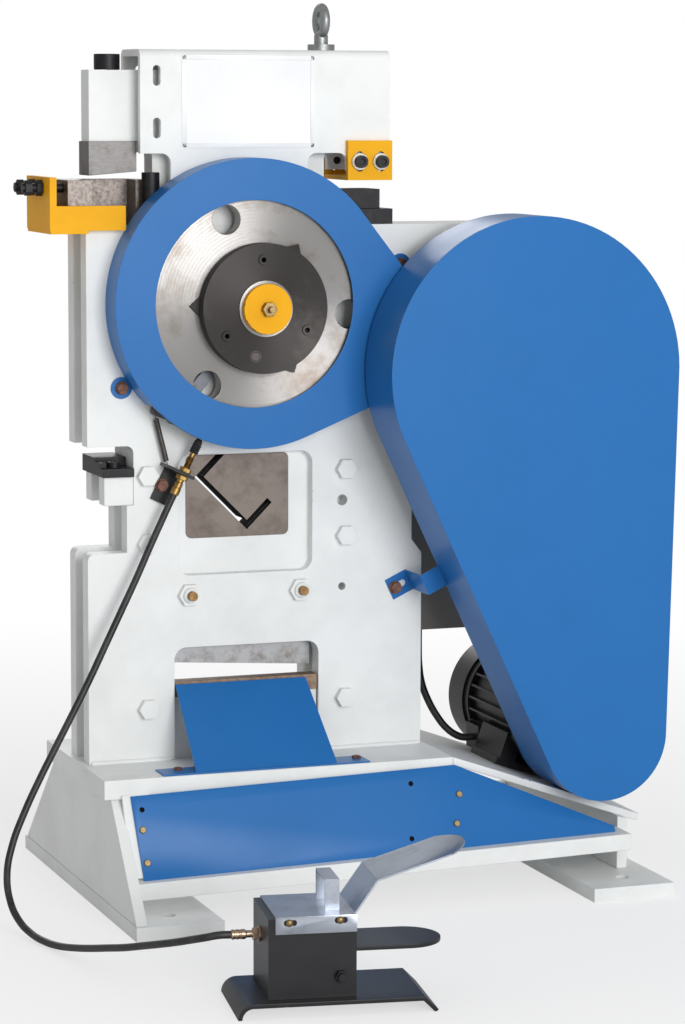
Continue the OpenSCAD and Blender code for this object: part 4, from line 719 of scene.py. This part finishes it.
# Free-cutting brass: yellow, turned, darkened by hands.
brass = worked_metal("turned_brass", "#A8884F", "#6B5230", 0.34, 1.2, 7, 0.45)
stop_spot = at(-237, -25, 556)
stop_lean = math.radians(63.4)
stop_way = Vector((math.cos(stop_lean), 0, math.sin(stop_lean)))
thread = [(4.5 if i % 2 else 3.9, 8.5 + i * 0.7) for i in range(20)]
shank = [(0, -29), (5.2, -29), (5.9, -28.2), (5.9, -20), (5.3, -19.2), (5.3, -13), (4.5, -12), (4.5, 8)]
adjuster = turned("adjuster_screw", shank + thread + [(3.7, 23), (3.7, 29), (0, 29)], brass, 24)
aim(adjuster, stop_spot, stop_way)
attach(adjuster, "machine")
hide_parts("cable_adjuster")
hex_nut = [(4.2, 0), (7.3, 0), (8, 0.7), (8, 5.3), (7.3, 6), (4.2, 6), (4.2, 0)]
lock_nuts = set_out(turned("adjuster_lock_nuts", hex_nut, brass, 6), [
    (stop_spot + stop_way * 0.0022, stop_way), (stop_spot - stop_way * 0.0022, -stop_way)])
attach(lock_nuts, "machine")
folds = [(6.4 if i % 2 else 5.1, 29.5 + i * 1.55) for i in range(9)]
boot = turned("adjuster_boot", [(3.6, 29.1), (5.0, 29.1)] + folds
              + [(5.4, 43.8), (4.2, 47), (3.8, 48.8), (3, 48.8), (3, 29.1)], belt_rubber, 24)
aim(boot, stop_spot, stop_way)
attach(boot, "machine")


# Return spring: music wire wound close, hooked into the lever above and into the bracket's flange below.
spring_wire = worked_metal("spring_wire", "#6F6B66", "#4B4038", 0.40, 1.2, 6, 0.5)
spring_low, spring_high = at(-254, -7.5, 568.7), at(-269, -7.5, 628.2)
spring_run = spring_high - spring_low
spring_across = spring_run.normalized().cross(Vector((0, 1, 0)))
coil = bpy.data.curves.new("return_spring", "CURVE")
coil.dimensions = "3D"
coil.bevel_depth = 0.00068
coil.bevel_resolution = 1
coil_points = [at(-252.4, -7.5, 565.6), at(-253.2, -7.5, 568.2)]
coil_turns, turn_steps, coil_r = 34, 14, 0.0031
for i in range(coil_turns * turn_steps + 1):
    turn = i * 2 * math.pi / turn_steps
    coil_points.append(spring_low + spring_run * (0.04 + 0.92 * i / (coil_turns * turn_steps))
                       + coil_r * (math.cos(turn) * Vector((0, 1, 0)) + math.sin(turn) * spring_across))
coil_points += [at(-269.0, -9.5, 628.6), at(-269.3, -11.9, 630.4), at(-269.5, -12.2, 633),
                at(-269.6, -10.4, 634.6)]
wire = coil.splines.new("POLY")
wire.points.add(len(coil_points) - 1)
for knot, point in zip(wire.points, coil_points):
    knot.co = (*point, 1)
spring = bpy.data.objects.new("return_spring", coil)
bpy.context.collection.objects.link(spring)
bpy.ops.object.select_all(action="DESELECT")
bpy.context.view_layer.objects.active = spring
spring.select_set(True)
bpy.ops.object.convert(target="MESH")
bpy.ops.object.shade_smooth()
spring.data.materials.append(spring_wire)
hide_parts("trip_spring")
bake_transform(spring)


# Foot pedal: a black folded box on a base plate with curled ends, a bright steel cover with a guard and a
# handle, the pedal lever on its bolt, and the brass fitting of the cable.
dressed("pedal_base", black_enamel, 0.8, worn=black_edge)
dressed("pedal_box", black_enamel, 1.5, worn=black_edge)
# Stainless sheet: brushed along its length, pale blue-grey.
stainless = worked_metal("brushed_stainless", "#AEB4BE", "#8B9099", 0.34, 1.4, 40, 0.5, along=(0.06, 1, 1))
pedal_cover = dressed("pedal_cover", stainless, 0.4)
pedal_turn = math.radians(-9)
pedal_along = Vector((math.cos(pedal_turn), math.sin(pedal_turn), 0))
pedal_back = Vector((-math.sin(pedal_turn), math.cos(pedal_turn), 0))


def on_pedal(x, y, z):
    """A point of the pedal, in millimetres from the front left corner of its box."""
    return at(-308, -576, z) + (pedal_along * x + pedal_back * y) / 1000


cut_holes(pedal_cover, [(on_pedal(x + step, -1, z), pedal_back, 0.0036, 0.005)
                        for x, z in ((25, 107), (83.5, 108)) for step in (-4, 0, 4)])
lip_screws = set_out(
    turned("lip_screws", [(0, 2.6), (1.4, 2.5), (3.0, 1.9), (4.2, 0.8), (4.5, 0), (0, 0)], zinc_plate, 24),
    [(on_pedal(x, -1.9, z), -pedal_back) for x, z in ((24, 107), (82.5, 108))])
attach(lip_screws, "machine")
dressed("pedal_pin", black_oxide, 0.5)
dressed("pedal_lever", black_enamel, 0.8, body="pedal", worn=black_edge)
# Nickel-plated brass: pale and pinkish where the plating is thin.
nickel_brass = worked_metal("nickel_plated_brass", "#B7A18D", "#8A6B55", 0.32, 1.2, 6, 0.5)
fitting = turned("cable_end_fitting", [
    (0, -34), (5.0, -34), (5.8, -33.2), (5.8, -31), (5.3, -30.4), (5.3, -28.6), (5.8, -28),
    (5.8, -25.6), (5.3, -25), (5.3, -23.2), (5.8, -22.6), (5.8, -18), (4.2, -16.5), (4.2, -3.2),
    (8.6, -3), (9, -2.5), (9, -0.2), (0, -0.2)],
    nickel_brass)
aim(fitting, on_pedal(0, 55, 82), pedal_along)
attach(fitting, "machine")
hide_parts("cable_fitting")
fitting_nut = turned("fitting_nut", hex_nut, nickel_brass, 6)
aim(fitting_nut, on_pedal(-9.2, 55, 82), pedal_along)
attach(fitting_nut, "machine")


# Floor and light: a plain white studio floor, one large soft lamp in front of the machine above eye
# height and a weaker one behind it. Camera rays see white behind the machine, so that the floor only
# shows its shadow.
bpy.ops.object.select_all(action="DESELECT")
bpy.ops.mesh.primitive_circle_add(vertices=96, radius=14, fill_type="NGON")
floor = bpy.context.object
floor.name = "studio_floor"
studio = bpy.data.materials.new("studio_floor_paint")
studio.use_nodes = True
tree = studio.node_tree
tree.nodes.remove(tree.nodes["Principled BSDF"])
floor_place = add_node(studio, "ShaderNodeTexCoord").outputs["Object"]
floor_reach = add_node(studio, "ShaderNodeVectorMath", {"operation": "LENGTH"}, {0: floor_place})
floor_fade = add_node(studio, "ShaderNodeMapRange",
                      {"From Min": 0.6, "From Max": 2.2, "To Min": 0.62, "To Max": 1.0},
                      {"Value": floor_reach.outputs["Value"]})
ray = add_node(studio, "ShaderNodeLightPath")
share = add_node(studio, "ShaderNodeMath", {"operation": "MULTIPLY"},
                 {0: ray.outputs["Is Camera Ray"], 1: floor_fade.outputs["Result"]})
matt = add_node(studio, "ShaderNodeBsdfDiffuse", {"Color": linear("#F2F2F2")})
white = add_node(studio, "ShaderNodeEmission", {"Color": (1, 1, 1, 1), "Strength": 1.0})
mixed = add_node(studio, "ShaderNodeMixShader", (), {"Fac": share.outputs["Value"], 1: matt.outputs["BSDF"],
                                                    2: white.outputs["Emission"]})
tree.links.new(mixed.outputs["Shader"], tree.nodes["Material Output"].inputs["Surface"])
floor.data.materials.append(studio)

room = bpy.data.worlds.new("studio")
bpy.context.scene.world = room
room.use_nodes = True
backdrop = room.node_tree.nodes["Background"]
backdrop.inputs["Color"].default_value = (1, 1, 1, 1)
room_ray = add_node(room, "ShaderNodeLightPath")
room_level = add_node(room, "ShaderNodeMapRange", {"To Min": 0.50, "To Max": 1.0},
                      {"Value": room_ray.outputs["Is Camera Ray"]})
room.node_tree.links.new(room_level.outputs["Result"], backdrop.inputs["Strength"])


def soft_lamp(name, place, target, width, power):
    """A large square soft box that looks at a point of the machine."""
    bpy.ops.object.select_all(action="DESELECT")
    bpy.ops.object.light_add(type="AREA", location=place)
    lamp = bpy.context.object
    lamp.name = name
    lamp.data.size = width
    lamp.data.energy = power
    lamp.rotation_euler = (Vector(target) - Vector(place)).to_track_quat("-Z", "Y").to_euler()


soft_lamp("key_soft_box", (0.4, -5.6, 1.7), (0, 0, 0.6), 2.4, 180)
soft_lamp("back_soft_box", (0.6, 5.2, 2.6), (0, 0, 0.6), 2.4, 55)
bpy.context.scene.view_settings.view_transform = "Standard"
